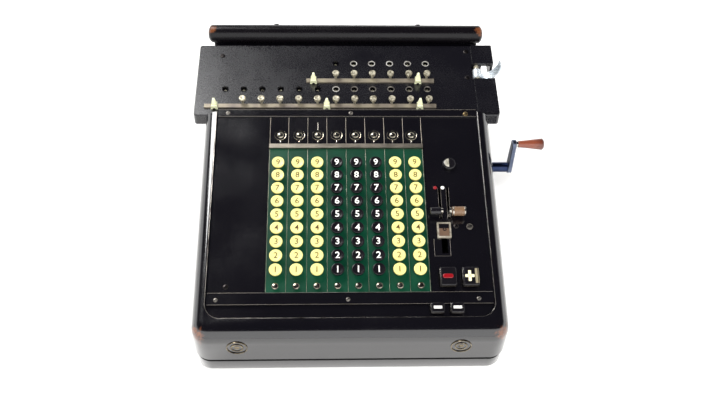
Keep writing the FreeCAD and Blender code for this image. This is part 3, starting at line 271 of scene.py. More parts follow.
def round_outline(half_x, front, back, front_radius, back_radius, steps=14):
    """A rectangle seen from above with round corners: four quarter circles, joined straight."""
    turn = np.linspace(0, np.pi / 2, steps)
    corners = []
    for x_sign, y_edge, y_sign, radius, first in (
            (1, front, 1, front_radius, -np.pi / 2), (1, back, -1, back_radius, 0),
            (-1, back, -1, back_radius, np.pi / 2), (-1, front, 1, front_radius, np.pi)):
        radius = max(radius, 1e-5)
        corners.append(np.stack([x_sign * (half_x - radius) + radius * np.cos(first + turn),
                                 y_edge + y_sign * radius + radius * np.sin(first + turn)], -1))
    return np.concatenate(corners)


def quarter(radius, steps=7):
    """Inset and drop along a quarter circle, from a wall's top up and over to level."""
    turn = np.linspace(0, np.pi / 2, steps)
    return np.stack([radius * (1 - np.cos(turn)), radius * (np.sin(turn) - 1)], -1)


tray_low, tray_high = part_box("base_tray")
TRAY_HALF = tray_high.x
TRAY_FRONT, TRAY_BACK = tray_low.y, tray_high.y
TRAY_RADIUS, TRAY_BACK_RADIUS = 0.0135, 0.0060
TRAY_RIM = 0.0203
TRAY_WALL = 0.00525
TRAY_FLOOR = 0.005
PARTING_LOW, PARTING_DEEP, PARTING_SLACK = 0.0168, 0.0024, 0.0006


def at_level(outline, level):
    """A flat outline, lifted to one level."""
    return np.column_stack([outline, np.full(len(outline), level)])


def tray_ring(inset, level):
    """The tray's outline, drawn in by an inset."""
    return at_level(round_outline(TRAY_HALF - inset, TRAY_FRONT + inset, TRAY_BACK - inset,
                                  TRAY_RADIUS - inset, TRAY_BACK_RADIUS - inset), level)


base_profile = [(0.003, tray_low.z), (0.0008, tray_low.z + 0.0007),
                (0, tray_low.z + 0.0028), (0, PARTING_LOW - 0.0008), (0.0008, PARTING_LOW),
                (PARTING_DEEP, PARTING_LOW + 0.0001), (PARTING_DEEP, TRAY_RIM),
                (TRAY_WALL, TRAY_RIM), (TRAY_WALL, TRAY_FLOOR)]
base_skin = np.stack([tray_ring(inset, level) for inset, level in base_profile])
base = skin("base_tray_skin", [base_skin], "root", black_enamel)
# The groove gets a darker, matt copy of the enamel: painted shade for the dark parting line.
base.data.materials.append(enamel("painted_shade_groove_enamel", "#040405", 0.6, coat=0.0, index=1.3))
for face in base.data.polygons:
    face.material_index = int(PARTING_LOW - PARTING_SLACK < face.center.z < TRAY_RIM)


def prism(outline, start, depth, way):
    """A flat outline, given as points, carried straight along one way."""
    outline = np.asarray(outline, float)
    return np.stack([outline + start * way, outline + (start + depth) * way])


# Two upright pedestals inside the tray carry the rotor's shaft.
ACROSS = np.array([1.0, 0.0, 0.0])
shaft_place = np.array(joints["crank_turn"]["pos_m"])
STAND_X, STAND_THICK = 0.118, 0.005
STAND_FOOT, STAND_CAP = 0.022, 0.008
stand_outline = shaft_place * (0, 1, 1) + np.array([
    (0, -STAND_FOOT, TRAY_FLOOR - shaft_place[2]), (0, STAND_FOOT, TRAY_FLOOR - shaft_place[2]),
    (0, STAND_CAP, STAND_CAP), (0, -STAND_CAP, STAND_CAP)])
skin("shaft_stands", [prism(stand_outline, side * STAND_X - STAND_THICK / 2, STAND_THICK, ACROSS)
                      for side in (-1, 1)], "root", black_enamel)
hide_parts("base_tray")

# ---------------------------------------------------------------- rubber feet
# Four moulded rubber pads, round and a little waisted. They are fixed under the tray near its
# corners, and the machine stands on them.


def turned(profile, place, ways, segments=32, flutes=0, depth=0.0, first=0, last=0):
    """A profile of (radius, height) turned round an axis.

    A point is place + radius cos(a) ways[0] + radius sin(a) ways[1] + height ways[2]. With
    flutes, the radius of rows first to last swells by depth times the cosine of flutes times a.
    """
    profile = np.asarray(profile, float)
    angle = np.linspace(0, 2 * np.pi, segments, endpoint=False)
    rows = np.arange(len(profile))
    fluted = ((rows >= first) & (rows <= last) & (flutes > 0))[:, None]
    radius = profile[:, :1] * (1 + depth * fluted * np.cos(flutes * angle))
    return (np.asarray(place, float) + (radius * np.cos(angle))[..., None] * ways[0]
            + (radius * np.sin(angle))[..., None] * ways[1]
            + np.broadcast_to(profile[:, 1:], radius.shape)[..., None] * ways[2])


def rubber(name, colour):
    """Moulded black rubber, matt and faintly dusty."""
    finish, tree, body, place = new_finish(name)
    tint = blend(tree, noise(tree, place, 1400.0, 2.0), colour, "#2c2a28")
    tree.links.new(tint, body.inputs["Base Color"])
    body.inputs["Roughness"].default_value = 0.75
    return finish


UPRIGHT = np.eye(3)
FOOT_RADIUS = 0.009
feet_low, feet_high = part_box("rubber_feet")
foot_profile = [(FOOT_RADIUS - 0.0006, feet_low.z), (FOOT_RADIUS, 0.0005),
                (FOOT_RADIUS - 0.0004, 0.0012), (FOOT_RADIUS - 0.0001, feet_high.z)]
feet = skin("foot_pads", [
    turned(foot_profile, (x, y, 0), UPRIGHT, 40)
    for x in (feet_low.x + FOOT_RADIUS, feet_high.x - FOOT_RADIUS)
    for y in (feet_low.y + FOOT_RADIUS, feet_high.y - FOOT_RADIUS)],
    "root", rubber("moulded_rubber", "#121110"))
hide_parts("rubber_feet")

# ---------------------------------------------------------------- case shell
# Pressed sheet steel, open below. Its wall rises to a round shoulder that runs round the front
# and up both sides, then drops to the sunk panel. Behind the panel is the flat carriage deck.

SHELL_CORNER, SHELL_BACK_CORNER = 0.015, 0.0075
SHOULDER = 0.011
SHELL_FOOT = case_low.z
RAIL_RISE = 0.003
RAIL_END = case_low.y + 0.2213
DECK = 0.086
DECK_EDGE = 0.0014
FIELD_HALF, FIELD_CORNER, FIELD_FRONT = 0.124, 0.013, -0.001
FIELD_FLOOR = -0.002
LIP = 0.0005
SELECTOR_ROW = 0.1505


def sloping(joint):
    """Rows of three directions on a sloping top: across, up the slope, and out of it."""
    out = np.array(joints[joint]["axis"])
    return np.stack([ACROSS, np.cross(out, ACROSS), out])


panel_ways = sloping("selector_turn")
panel_start = np.array(joints["selector_turn"]["pos_m"]) * (0, 1, 1) - SELECTOR_ROW * panel_ways[1]


def on_panel(points):
    """Places given across, up the slope and out of the panel, in the machine's own frame."""
    return np.asarray(points, float) @ panel_ways + panel_start


def panel_height(y, rise):
    """How high the plane that lies a rise above the panel is at a distance back."""
    return (panel_start[2] + (y - panel_start[1]) * panel_ways[1, 2] / panel_ways[1, 1]
            + rise / panel_ways[1, 1])


def u_outline(half_x, front, radius, steps=16, run=30):
    """Down the left side, round the front and up the right side, as straights and arcs."""
    turn = np.linspace(0, np.pi / 2, steps)
    sides = np.linspace(RAIL_END, front + radius, run)
    left = np.stack([np.full(run, -half_x), sides], -1)
    arc = np.stack([-(half_x - radius) - radius * np.cos(turn),
                    front + radius - radius * np.sin(turn)], -1)
    half = np.concatenate([left[:-1], arc])
    along = np.linspace(-1, 1, run)[1:-1, None] * (half_x - radius, 0) + (0, front)
    return np.concatenate([half, along, half[::-1] * (-1, 1)])


def rail_ring(half_x, front, radius, level=None, rise=None):
    """A u_outline at one level, or at a rise above the panel."""
    ring = u_outline(half_x, front, radius)
    heights = np.full(len(ring), level) if rise is None else panel_height(ring[:, 1], rise)
    return np.column_stack([ring, heights])


def shell_ring(inset, **height):
    """The case's own outline, drawn in by an inset."""
    return rail_ring(case_high.x - inset, case_low.y + inset, SHELL_CORNER - inset, **height)


field_front = on_panel([(0, FIELD_FRONT, 0)])[0, 1]
rail_rings = [shell_ring(0.003, level=SHELL_FOOT), shell_ring(0.0008, level=SHELL_FOOT),
              shell_ring(0, level=SHELL_FOOT + 0.0009), shell_ring(0, level=0.035),
              shell_ring(0, rise=-0.018)]
rail_rings += [shell_ring(inset, rise=RAIL_RISE + drop) for inset, drop in quarter(SHOULDER, 10)]
rail_rings += [rail_ring(FIELD_HALF + grow, field_front - grow, FIELD_CORNER + grow, rise=rise)
               for grow, rise in ((LIP, RAIL_RISE), (LIP / 4, RAIL_RISE - LIP / 4),
                                  (0, RAIL_RISE - LIP), (0, FIELD_FLOOR))]
rail_grid = np.stack(rail_rings)


def rear_ring(inset, level):
    """Up the right side, round the back corners and down the left side of the deck."""
    ring = round_outline(case_high.x - inset, case_low.y, case_high.y - inset, 0.001,
                         SHELL_BACK_CORNER - inset)
    ring = ring[ring[:, 1] > RAIL_END]
    ends = np.array([[case_high.x - inset, RAIL_END]])
    return at_level(np.concatenate([ends, ring, ends * (-1, 1)]), level)


rear_rings = [rear_ring(0.003, SHELL_FOOT), rear_ring(0.0008, SHELL_FOOT),
              rear_ring(0, SHELL_FOOT + 0.0009)]
rear_rings += [rear_ring(inset, DECK + drop) for inset, drop in quarter(DECK_EDGE, 6)]
rear_grid = np.stack(rear_rings)


def wear_near(piece, marks, reach):
    """An attribute that is 1 at the marks and falls off as a bell over the reach."""
    mesh = piece.data
    places = np.empty(len(mesh.vertices) * 3, np.float32)
    mesh.vertices.foreach_get("co", places)
    away = np.linalg.norm(places.reshape(-1, 1, 3) - np.asarray(marks, float)[None], axis=2)
    worn = np.exp(-(away.min(axis=1) / reach) ** 2)
    mesh.attributes.new("wear", "FLOAT", "POINT").data.foreach_set("value", worn.astype(np.float32))


worn_enamel = enamel("worn_black_enamel", "#08070b", 0.09, wear=0.70)
rail = skin("case_rail", [rail_grid], "root", worn_enamel, around=False)
corner_mark = (case_high.x - 0.004, case_low.y + 0.005, panel_height(case_low.y + 0.005, -0.002))
CORNER_WEAR = 0.012
wear_near(rail, [corner_mark, (-corner_mark[0], *corner_mark[1:])], CORNER_WEAR)
FLOOR_END = 0.0262
floor_edge = rail_grid[-1][rail_grid[-1, :, 1] < on_panel([(0, FLOOR_END, 0)])[0, 1]]
skin("field_floor", [np.stack([floor_edge, floor_edge * (0, 1, 1)])], "root", black_enamel,
     around=False)
skin("case_rear", [rear_grid], "root", black_enamel, around=False)
deck_edge = rear_grid[-1]
step_top = panel_height(RAIL_END, FIELD_FLOOR)
skin("carriage_deck", [np.stack([deck_edge, deck_edge * (0, 1, 1)])], "root", black_enamel,
     around=False)
step_line = np.array([(side * (case_high.x - 0.001), RAIL_END, DECK) for side in (-1, 1)])
skin("deck_step", [np.stack([step_line, step_line + (0, 0, step_top - DECK)])], "root",
     black_enamel, around=False)
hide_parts("case_shell")

# ---------------------------------------------------------------- panel plates
# Flat sheet-steel plates that lie in the sunk field and are screwed down. The key plate is
# enamelled green and the others black. A drawn bar of satin nickel closes the key plate's top.


def coat_node(name, finish):
    """Give a finish to a solid that keeps its own mesh."""
    for slot in frame["nodes"][name].material_slots:
        slot.material = finish


for plate in ("left_cover_plate", "right_cover_plate", "check_strip", "panel_bars"):
    coat_node(plate, black_enamel)


def green_enamel(name):
    """Green stoved enamel, satin, with the cloudy shade that old enamel has under the keys."""
    finish, tree, film, place = new_finish(name)
    tint = blend(tree, noise(tree, place, 45.0, 4.0), "#021c12", "#0b4630")
    tree.links.new(tint, film.inputs["Base Color"])
    gloss = stretch(tree, noise(tree, place, 1200.0, 2.0), 0.24, 0.42)
    tree.links.new(gloss, film.inputs["Roughness"])
    return finish


coat_node("key_plate", green_enamel("green_stoved_enamel"))


def plated(name, colour, rough, streak=(1, 1, 1), second="#8f887c", share=1.0, patch=60.0):
    """Nickel-plated metal: wipe marks about 1.5 mm long and finer ones vary its gloss.

    streak is below 1 along the way that a bar was drawn. share is below 1 where old lacquer and
    fine pitting scatter part of the light. patch is how many tarnished patches lie in a metre.
    """
    finish, tree, metal, place = new_finish(name)
    metal.inputs["Metallic"].default_value = share
    tarnish = stretch(tree, noise(tree, place, patch, 3.0), 0.0, 1.0, 0.3, 0.7)
    tree.links.new(blend(tree, tarnish, colour, second), metal.inputs["Base Color"])
    drawn = add(tree, "ShaderNodeMapping", {3: streak}, {0: place})
    marks = noise(tree, drawn.outputs[0], 700.0, 4.0)
    tree.links.new(stretch(tree, marks, rough, rough + 0.15), metal.inputs["Roughness"])
    return finish


nickel = plated("polished_nickel_plate", "#f2ede2", 0.10)
satin_nickel = plated("brushed_nickel_bar", "#cfc4b4", 0.30, streak=(0.05, 1, 1))
coat_node("divider_bar", satin_nickel)

# ---------------------------------------------------------------- column wires and edge beads
# Nickel-plated wires between the key columns and between the check studs, let into the plates.
# Thin bright steel lines along the edges of the front strip, the retainer and the sunk field are
# painted highlights of those edges.

KEYS_CENTRE, COLUMN_PITCH, COLUMN_COUNT = -0.002, 0.018, 8
column_places = KEYS_CENTRE + (np.arange(COLUMN_COUNT) - (COLUMN_COUNT - 1) / 2) * COLUMN_PITCH
wire_places = KEYS_CENTRE + (np.arange(COLUMN_COUNT + 1) - COLUMN_COUNT / 2) * COLUMN_PITCH
wire_places[[0, -1]] += (0.0006, -0.0006)


def wire(start, end, radius, sides=8):
    """A thin round wire on the panel between two places: a circle carried along the line."""
    start, end = np.asarray(start, float), np.asarray(end, float)
    along = (end - start) / np.linalg.norm(end - start)
    side = np.cross((0, 0, 1), along)
    angle = np.linspace(0, 2 * np.pi, sides, endpoint=False)[:, None]
    ring = radius * (np.cos(angle) * side + np.sin(angle) * np.array([0, 0, 1]))
    return on_panel(np.stack([start + ring, end + ring]))


FIELD_WIRES = (0.0238, 0.1684)
CHECK_WIRES = (0.1734, 0.2036)
WIRE_RADIUS, WIRE_LEVEL = 0.0002, 0.0001
wires = [wire((x, low, WIRE_LEVEL), (x, high, WIRE_LEVEL), WIRE_RADIUS)
         for low, high in (FIELD_WIRES, CHECK_WIRES) for x in wire_places]
skin("column_wires", wires, "root", satin_nickel, sharp=60)

STRIP_TOP, RETAINER_TOP = 0.0006, 0.0012
EDGES = ((0.0124, STRIP_TOP), (0.0232, STRIP_TOP), (0.2043, RETAINER_TOP), (0.2120, RETAINER_TOP))
BEAD_HALF, BEAD_RADIUS = 0.1232, 0.0002
beads = [wire((-BEAD_HALF, row, top), (BEAD_HALF, row, top), BEAD_RADIUS) for row, top in EDGES]
# Pale steel: painted highlights on the thin edge lines, and worn steel on one bright screw.
highlight_and_worn_steel = plated("highlight_and_worn_edge_steel", "#9b958f", 0.35)
skin("edge_beads", beads, "root", highlight_and_worn_steel, sharp=60)
# The bright line round the sunk field, a painted highlight on its lip: how far out of the field's
# edge, and above the panel.
LIP_BEAD = [(0.0002, 0.0030), (0.0005, 0.0031), (0.0008, 0.0030), (0.0005, 0.0028),
            (0.0002, 0.0030)]
lip_line = np.stack([rail_ring(FIELD_HALF + grow, field_front - grow, FIELD_CORNER + grow,
                               rise=rise) for grow, rise in LIP_BEAD])
lip_highlight_steel = plated("painted_lip_highlight_steel", "#c8c2b8", 0.22, second="#5a5550", patch=90.0)
skin("field_lip", [lip_line], "root", lip_highlight_steel, around=False, sharp=60)

# ---------------------------------------------------------------- number keys
# Round moulded tops with a dished face, nine to a column, on flat steel stems. The three middle
# columns are black with white figures; the others are cream with brown figures.

KEY_RADIUS, KEY_TOP, KEY_UNDER = 0.0057, 0.0062, 0.0034
KEY_DISH, DISH_SHARE = 0.0005, 0.88
FIRST_ROW, ROW_PITCH, ROW_COUNT = 0.0429, 0.01352, 9
key_rows = FIRST_ROW + np.arange(ROW_COUNT) * ROW_PITCH


def dish_depth(radius):
    """How far a key's face lies below its rim: a parabola, deepest in the middle."""
    return KEY_DISH * (1 - np.minimum(radius / (DISH_SHARE * KEY_RADIUS), 1) ** 2)


def key_profile():
    """Underside, a small round below, the side, a rounder rim, then the dish to the middle."""
    rim = quarter(0.0006, 5)
    inner = np.linspace(DISH_SHARE, 0, 7) * KEY_RADIUS
    side = [(0, KEY_UNDER), (KEY_RADIUS - 0.0007, KEY_UNDER),
            (KEY_RADIUS - 0.0002, KEY_UNDER + 0.0003), (KEY_RADIUS, KEY_UNDER + 0.0009)]
    top = [(KEY_RADIUS - inset, KEY_TOP + drop) for inset, drop in rim]
    face = [(radius, KEY_TOP - dish_depth(radius)) for radius in inner]
    return side + top + face


def glossy(name, colour, second, rough=0.18, scale=90.0):
    """Moulded and polished key resin: gloss, slightly mottled by age."""
    finish, tree, body, place = new_finish(name)
    tint = blend(tree, noise(tree, place, scale, 4.0), colour, second)
    tree.links.new(tint, body.inputs["Base Color"])
    gloss = stretch(tree, noise(tree, place, 1500.0, 2.0), rough, rough + 0.12)
    tree.links.new(gloss, body.inputs["Roughness"])
    body.inputs["IOR"].default_value = 1.55
    return finish


cream_resin = glossy("cream_key_resin", "#e6dd92", "#d3c874")
black_resin = glossy("black_key_resin", "#0b0a0d", "#141216", 0.12)
white_ink = glossy("white_inlay", "#f6f5ef", "#e8e6dc", 0.35)
brown_ink = glossy("brown_inlay", "#3e2a0c", "#5a4014", 0.4)
stem_steel = plated("stamped_steel", "#8d8a86", 0.32)


def figure(text, height, bold=0.0):
    """The flat outline of one figure as a mesh: points about its middle, and its faces."""
    curve = bpy.data.curves.new("figure_" + text, "FONT")
    curve.body = text
    curve.offset = bold
    curve.resolution_u = 3
    holder = bpy.data.objects.new("figure", curve)
    bpy.context.scene.collection.objects.link(holder)
    bpy.context.view_layer.update()
    drawn = bpy.data.meshes.new_from_object(holder.evaluated_get(
        bpy.context.evaluated_depsgraph_get()))
    points = np.empty(len(drawn.vertices) * 3)
    drawn.vertices.foreach_get("co", points)
    points = points.reshape(-1, 3)[:, :2]
    faces = [list(face.vertices) for face in drawn.polygons]
    middle = (points.min(0) + points.max(0)) / 2
    bpy.data.objects.remove(holder)
    return (points - middle) * height / FIGURE_HEIGHT, faces


FIGURE_HEIGHT = 0.70
WHITE_FIGURE, BROWN_FIGURE = 0.0062, 0.0056
FIGURE_LIFT = 0.00004


def inlay(name, marks, place, body, finish):
    """Flat figures laid on a surface. place(points) lifts points across and up to the machine."""
    points, faces, start = [], [], 0
    for flat, polygons in marks:
        points.append(flat)
        faces += [[start + corner for corner in polygon] for polygon in polygons]
        start += len(flat)
    mesh = bpy.data.meshes.new(name)
    mesh.from_pydata(place(np.concatenate(points)).tolist(), [], faces)
    return set_up(name, mesh, body, finish)


WHITE_BOLD, BROWN_BOLD = 0.012, 0.006
white_figures = [figure(str(digit + 1), WHITE_FIGURE, WHITE_BOLD) for digit in range(ROW_COUNT)]
brown_figures = [figure(str(digit + 1), BROWN_FIGURE, BROWN_BOLD) for digit in range(ROW_COUNT)]
STEM_HALF, STEM_THIN, BAR_HALF = 0.0025, 0.0008, 0.0045
BAR_LOW, BAR_TOP = -0.0085, -0.006
BLACK_COLUMNS = (4, 5, 6)


def upright(profile, x, row, segments):
    """A turned form that stands square to the panel."""
    return on_panel(turned(profile, (x, row, 0), UPRIGHT, segments))


def post(x, row, half_x, half_y, low, high):
    """A square stem or bar that stands square to the panel, from one level to another."""
    flat = [(x - half_x, row - half_y), (x + half_x, row - half_y), (x + half_x, row + half_y),
            (x - half_x, row + half_y)]
    return on_panel([[(*place, level) for place in flat] for level in (low, high)])


for number, column_x in enumerate(column_places, start=1):
    is_black = number in BLACK_COLUMNS
    body = f"key_column_{number}"
    tops = [upright(key_profile(), column_x, row, 36) for row in key_rows]
    resin = black_resin if is_black else cream_resin
    keys = skin(f"key_tops_{number}", tops, body, resin, lids=False)
    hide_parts(body)

    def key_face(flat):
        """Each figure's own key is the nearest row, and the figure sinks into that key's dish."""
        nearest = key_rows[np.abs(flat[:, 1:] - key_rows).argmin(axis=1)]
        radius = np.hypot(flat[:, 0] - column_x, flat[:, 1] - nearest)
        return on_panel(np.column_stack([flat, KEY_TOP - dish_depth(radius) + FIGURE_LIFT]))

    figures = white_figures if is_black else brown_figures
    marks = [(flat + (column_x, row), faces) for (flat, faces), row in zip(figures, key_rows)]
    inlay(f"key_figures_{number}", marks, key_face, body, white_ink if is_black else brown_ink)
    stems = [post(column_x, row, STEM_HALF, STEM_THIN, BAR_TOP, KEY_UNDER) for row in key_rows]
    stems.append(post(column_x, key_rows.mean(), BAR_HALF, np.ptp(key_rows) / 2 + BAR_HALF, BAR_LOW,
                      BAR_TOP))
    skin(f"key_stems_{number}", stems, body, stem_steel)

# ---------------------------------------------------------------- clearing keys
# Eight small domed buttons of nickel-plated brass, one in front of each column. Square stems
# join them to a bar under the panel.

CLEAR_ROW, CLEAR_RADIUS = 0.0282, 0.003
CLEAR_TOP, CLEAR_UNDER = 0.0046, 0.0028
CLEAR_STEM, CLEAR_BAR = 0.0014, (0.0675, 0.00225, -0.0121, -0.0096)


def crown(radius, low, high, steps=7):
    """Radius and height along a quarter of an ellipse, from its rim up to its middle."""
    turn = np.linspace(0, np.pi / 2, steps)
    return list(zip(radius * np.cos(turn), low + (high - low) * np.sin(turn)))


button_profile = [(0, CLEAR_UNDER), (CLEAR_RADIUS - 0.0003, CLEAR_UNDER),
                  (CLEAR_RADIUS, CLEAR_UNDER + 0.0004)]
button_profile += crown(CLEAR_RADIUS, CLEAR_UNDER + 0.0007, CLEAR_TOP)
buttons = [upright(button_profile, x, CLEAR_ROW, 24) for x in column_places]
handled_nickel = plated("handled_nickel", "#d2cbb8", 0.16, second="#4e4a44", patch=420.0)
clear_keys = skin("clearing_buttons", buttons, "column_clear_keys", handled_nickel,
                  lids=False)
clear_stems = [post(x, CLEAR_ROW, CLEAR_STEM, CLEAR_STEM, CLEAR_BAR[3], CLEAR_UNDER)
               for x in column_places]
clear_stems.append(post(KEYS_CENTRE, CLEAR_ROW, *CLEAR_BAR))
skin("clearing_stems", clear_stems, "column_clear_keys", stem_steel)
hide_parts("column_clear_keys")

# ---------------------------------------------------------------- check studs
# Turned cups on the check strip: a thin nickel rim, a blackened well and a nickel dome with a
# black spot on its top. A short tail pin points at the keys. The third has a long thin needle.

STUD_ROW, STUD_PITCH = 0.183, 0.0176
stud_places = KEYS_CENTRE + (np.arange(COLUMN_COUNT) - (COLUMN_COUNT - 1) / 2) * STUD_PITCH
CUP_RADIUS, CUP_RIM, CUP_RISE, CUP_FLOOR = 0.0055, 0.0006, 0.0016, 0.0005
DOME_RADIUS, DOME_FOOT, DOME_TOP = 0.0034, 0.0012, 0.003
SPOT_RADIUS, SPOT_UP = 0.0008, 0.0009
TAIL_RUN, TAIL_RADIUS = (-0.0074, -0.0050), 0.0007
NEEDLE_STUD, NEEDLE_RUN, NEEDLE_RADIUS = 2, (0.0050, 0.0146), 0.0003


def ring_profile(inside, outside, low, high):
    """The closed outline of a flat ring."""
    return [(inside, low), (outside, low), (outside, high), (inside, high), (inside, low)]


well_inside = CUP_RADIUS - CUP_RIM
cup_profile = [(0, 0), (CUP_RADIUS, 0), (CUP_RADIUS, CUP_RISE - 0.0003),
               (CUP_RADIUS - 0.0002, CUP_RISE), (well_inside, CUP_RISE - 0.0001),
               (well_inside, CUP_FLOOR), (0, CUP_FLOOR)]
dome_profile = [(0, CUP_FLOOR), (DOME_RADIUS, CUP_FLOOR)] + crown(DOME_RADIUS, DOME_FOOT, DOME_TOP)
spot_profile = [(0, DOME_FOOT), (SPOT_RADIUS, DOME_FOOT), (SPOT_RADIUS, DOME_TOP), (0, DOME_TOP)]


def at_studs(profile, up=0.0):
    """A turned form at every stud, or a little up the slope from it."""
    return [upright(profile, x, STUD_ROW + up, 32) for x in stud_places]


studs = skin("check_cups", at_studs(cup_profile) + at_studs(dome_profile), "root",
             handled_nickel, lids=False)
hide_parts("check_bezels")
skin("check_wells", at_studs(ring_profile(DOME_RADIUS - 0.0001, well_inside, CUP_FLOOR,
                                          CUP_FLOOR + 0.0003))
     + at_studs(spot_profile, SPOT_UP), "root", black_enamel, lids=False)


def stud_pin(x, run, level, radius):
    """A wire at one stud, along the slope, between two distances from the stud."""
    return wire((x, STUD_ROW + run[0], level), (x, STUD_ROW + run[1], level), radius)


tails = [stud_pin(x, TAIL_RUN, TAIL_RADIUS / 2, TAIL_RADIUS) for x in stud_places]
tails.append(stud_pin(stud_places[NEEDLE_STUD], NEEDLE_RUN, NEEDLE_RADIUS, NEEDLE_RADIUS))
skin("check_tails", tails, "root", nickel, sharp=60)

# ---------------------------------------------------------------- function keys
# Two large square keys and two small ones at the front edge: black resin caps in nickel-plated
# skirts, on square steel stems. The left large one has a red glass bar let in, the right large
# one a cream plus and a pale strip that is a painted reflection, and each small one a white dash.

FUNCTION_ROW, FUNCTION_HALF = 0.0346, (0.0073, 0.0089)
MINUS_X, PLUS_X = 0.0847, 0.1044
FUNCTION_LEVELS, FUNCTION_STEM = (0.0044, 0.0068, 0.0090), 0.003
TAB_ROW, TAB_HALF, TAB_LEVELS = 0.0069, (0.0060, 0.0050), (0.0014, 0.0036, 0.0060)
TAB_STEM = 0.002
TAB_PLACES = {"tab_key_left": 0.0741, "tab_key_right": 0.0911}
CAP_CORNER, CAP_ROUND, CAP_SET_IN, CAP_DISH = 0.0012, 0.0010, 0.0004, 0.0003
STEM_FOOT = -0.009


def cap(x, row, halves, corner, profile):
    """A square form: rings of a round-cornered outline, each with its own inset and level."""
    rings = []
    for inset, level in profile:
        ring = round_outline(halves[0] - inset, row - halves[1] + inset, row + halves[1] - inset,
                             corner - inset, corner - inset, 6) + (x, 0)
        rings.append(at_level(ring, level))
    return on_panel(np.stack(rings))


def square_key(node, x, row, halves, levels, stem):
    """A key made of its skirt, its cap and its stem. levels are underside, seam and top."""
    under, seam, top = levels
    skirt = cap(x, row, halves, CAP_CORNER, [
        (0.0002, under), (0, under + 0.0002), (0, seam), (CAP_SET_IN, seam + 0.0001)])
    rim = [(CAP_SET_IN + inset, top + drop) for inset, drop in quarter(CAP_ROUND, 6)]
    crest = cap(x, row, halves, CAP_CORNER + CAP_ROUND, [(CAP_SET_IN, seam)] + rim + [
        (0.45 * halves[0], top - CAP_DISH)])
    key = skin(node + "_cap", [crest], node, black_resin)
    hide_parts(node)
    skin(node + "_skirt", [skirt, post(x, row, stem, stem, STEM_FOOT, under)], node, nickel)


for key, key_x in (("minus_key", MINUS_X), ("plus_key", PLUS_X)):
    square_key(key, key_x, FUNCTION_ROW, FUNCTION_HALF, FUNCTION_LEVELS, FUNCTION_STEM)
for tab, tab_x in TAB_PLACES.items():
    square_key(tab, tab_x, TAB_ROW, TAB_HALF, TAB_LEVELS, TAB_STEM)

red_glass = glossy("red_pressed_glass", "#94141c", "#6a0c13", 0.06)
LENS_HALF, LENS_LEFT, LENS_ROUND = (0.0047, 0.0021), 0.0004, 0.0008
lens_base, lens_top = FUNCTION_LEVELS[2] - 0.0008, FUNCTION_LEVELS[2] + 0.0004
lens_profile = [(0, lens_base)] + [(inset, lens_top + drop) for inset, drop in quarter(LENS_ROUND)]
skin("minus_lens", [cap(MINUS_X - LENS_LEFT, FUNCTION_ROW, LENS_HALF, 0.0020, lens_profile)],
     "minus_key", red_glass)

cream_inlay = glossy("cream_inlay", "#f3ecc4", "#e4dab0", 0.3)
INLAY_RISE = 0.0002
PLUS_MIDDLE, PLUS_ARMS, PLUS_STROKE = (PLUS_X - 0.0013, FUNCTION_ROW), (0.0040, 0.0050), 0.0013
PATCH_X, PATCH_HALF = PLUS_X + 0.0050, (0.0016, 0.0070)
DASH_HALF = (0.0036, 0.0012)


def inset_bar(middle, halves, top, corner=0.0004):
    """A thin inlaid bar that stands a hair above the face round it."""
    return cap(*middle, halves, corner, [(0, top - 0.001), (0, top), (0.0001, top + 0.00005)])


plus_top = FUNCTION_LEVELS[2] + INLAY_RISE - CAP_DISH
skin("plus_inlay", [inset_bar(PLUS_MIDDLE, (PLUS_ARMS[0], PLUS_STROKE), plus_top),
                    inset_bar(PLUS_MIDDLE, (PLUS_STROKE, PLUS_ARMS[1]), plus_top)],
     "plus_key", cream_inlay)
# A painted reflection: the pale strip right of the plus stands in for light mirrored in the cap.
skin("plus_patch", [inset_bar((PATCH_X, FUNCTION_ROW), PATCH_HALF, plus_top)], "plus_key",
     glossy("painted_reflection_strip", "#a0967a", "#5c5542", 0.3, 160.0))
dash_top = TAB_LEVELS[2] - CAP_DISH + INLAY_RISE
for tab, tab_x in TAB_PLACES.items():
    skin(tab + "_dash", [inset_bar((tab_x, TAB_ROW), DASH_HALF, dash_top)], tab, white_ink)

# ---------------------------------------------------------------- panel levers
# Two flat nickel-plated levers in long slots. Each has a collar and a turned grip out to one
# side: the left one is black, the right one brown between two nickel washers.

SLOT_ENDS, SLOT_HALF = (0.0948, 0.1264), 0.00125
SLOT_LINE_LEVEL, SLOT_LINE_RADIUS = 0.00005, 0.00012
LEVER_REST, LEVER_LEVEL, LEVER_HALF, LEVER_THIN = 0.098, 0.008, 0.0025, 0.0008
# Each: across, which side the grip is on, and the collar's length, grip's radius and length.
LEVERS = {"add_lever": (0.0828, -1, 0.0005, 0.0038, 0.0094),
          "count_lever": (0.0902, 1, 0.0018, 0.0044, 0.0112)}
COLLAR_RADIUS, WASHER = 0.0022, 0.0009
ON_SIDE = np.array([(0.0, 1.0, 0.0), (0.0, 0.0, 1.0), (1.0, 0.0, 0.0)])
brown_resin = glossy("brown_key_resin", "#5d4634", "#7a6048", 0.22)


def lying(profile, x, side):
    """A turned form whose axis runs across the panel, from x out to one side."""
    ways = ON_SIDE * np.array([[1.0], [1.0], [side]])
    return on_panel(turned(profile, (x, LEVER_REST, LEVER_LEVEL), ways, 40))


def round_bar(radius, start, end, edge):
    """The profile of a short bar with both its edges rounded."""
    near = [(radius - inset, start - drop - edge) for inset, drop in quarter(edge, 5)]
    far = [(radius - inset, end + drop) for inset, drop in quarter(edge, 5)]
    return [(0, start)] + near[::-1] + far + [(0, end)]


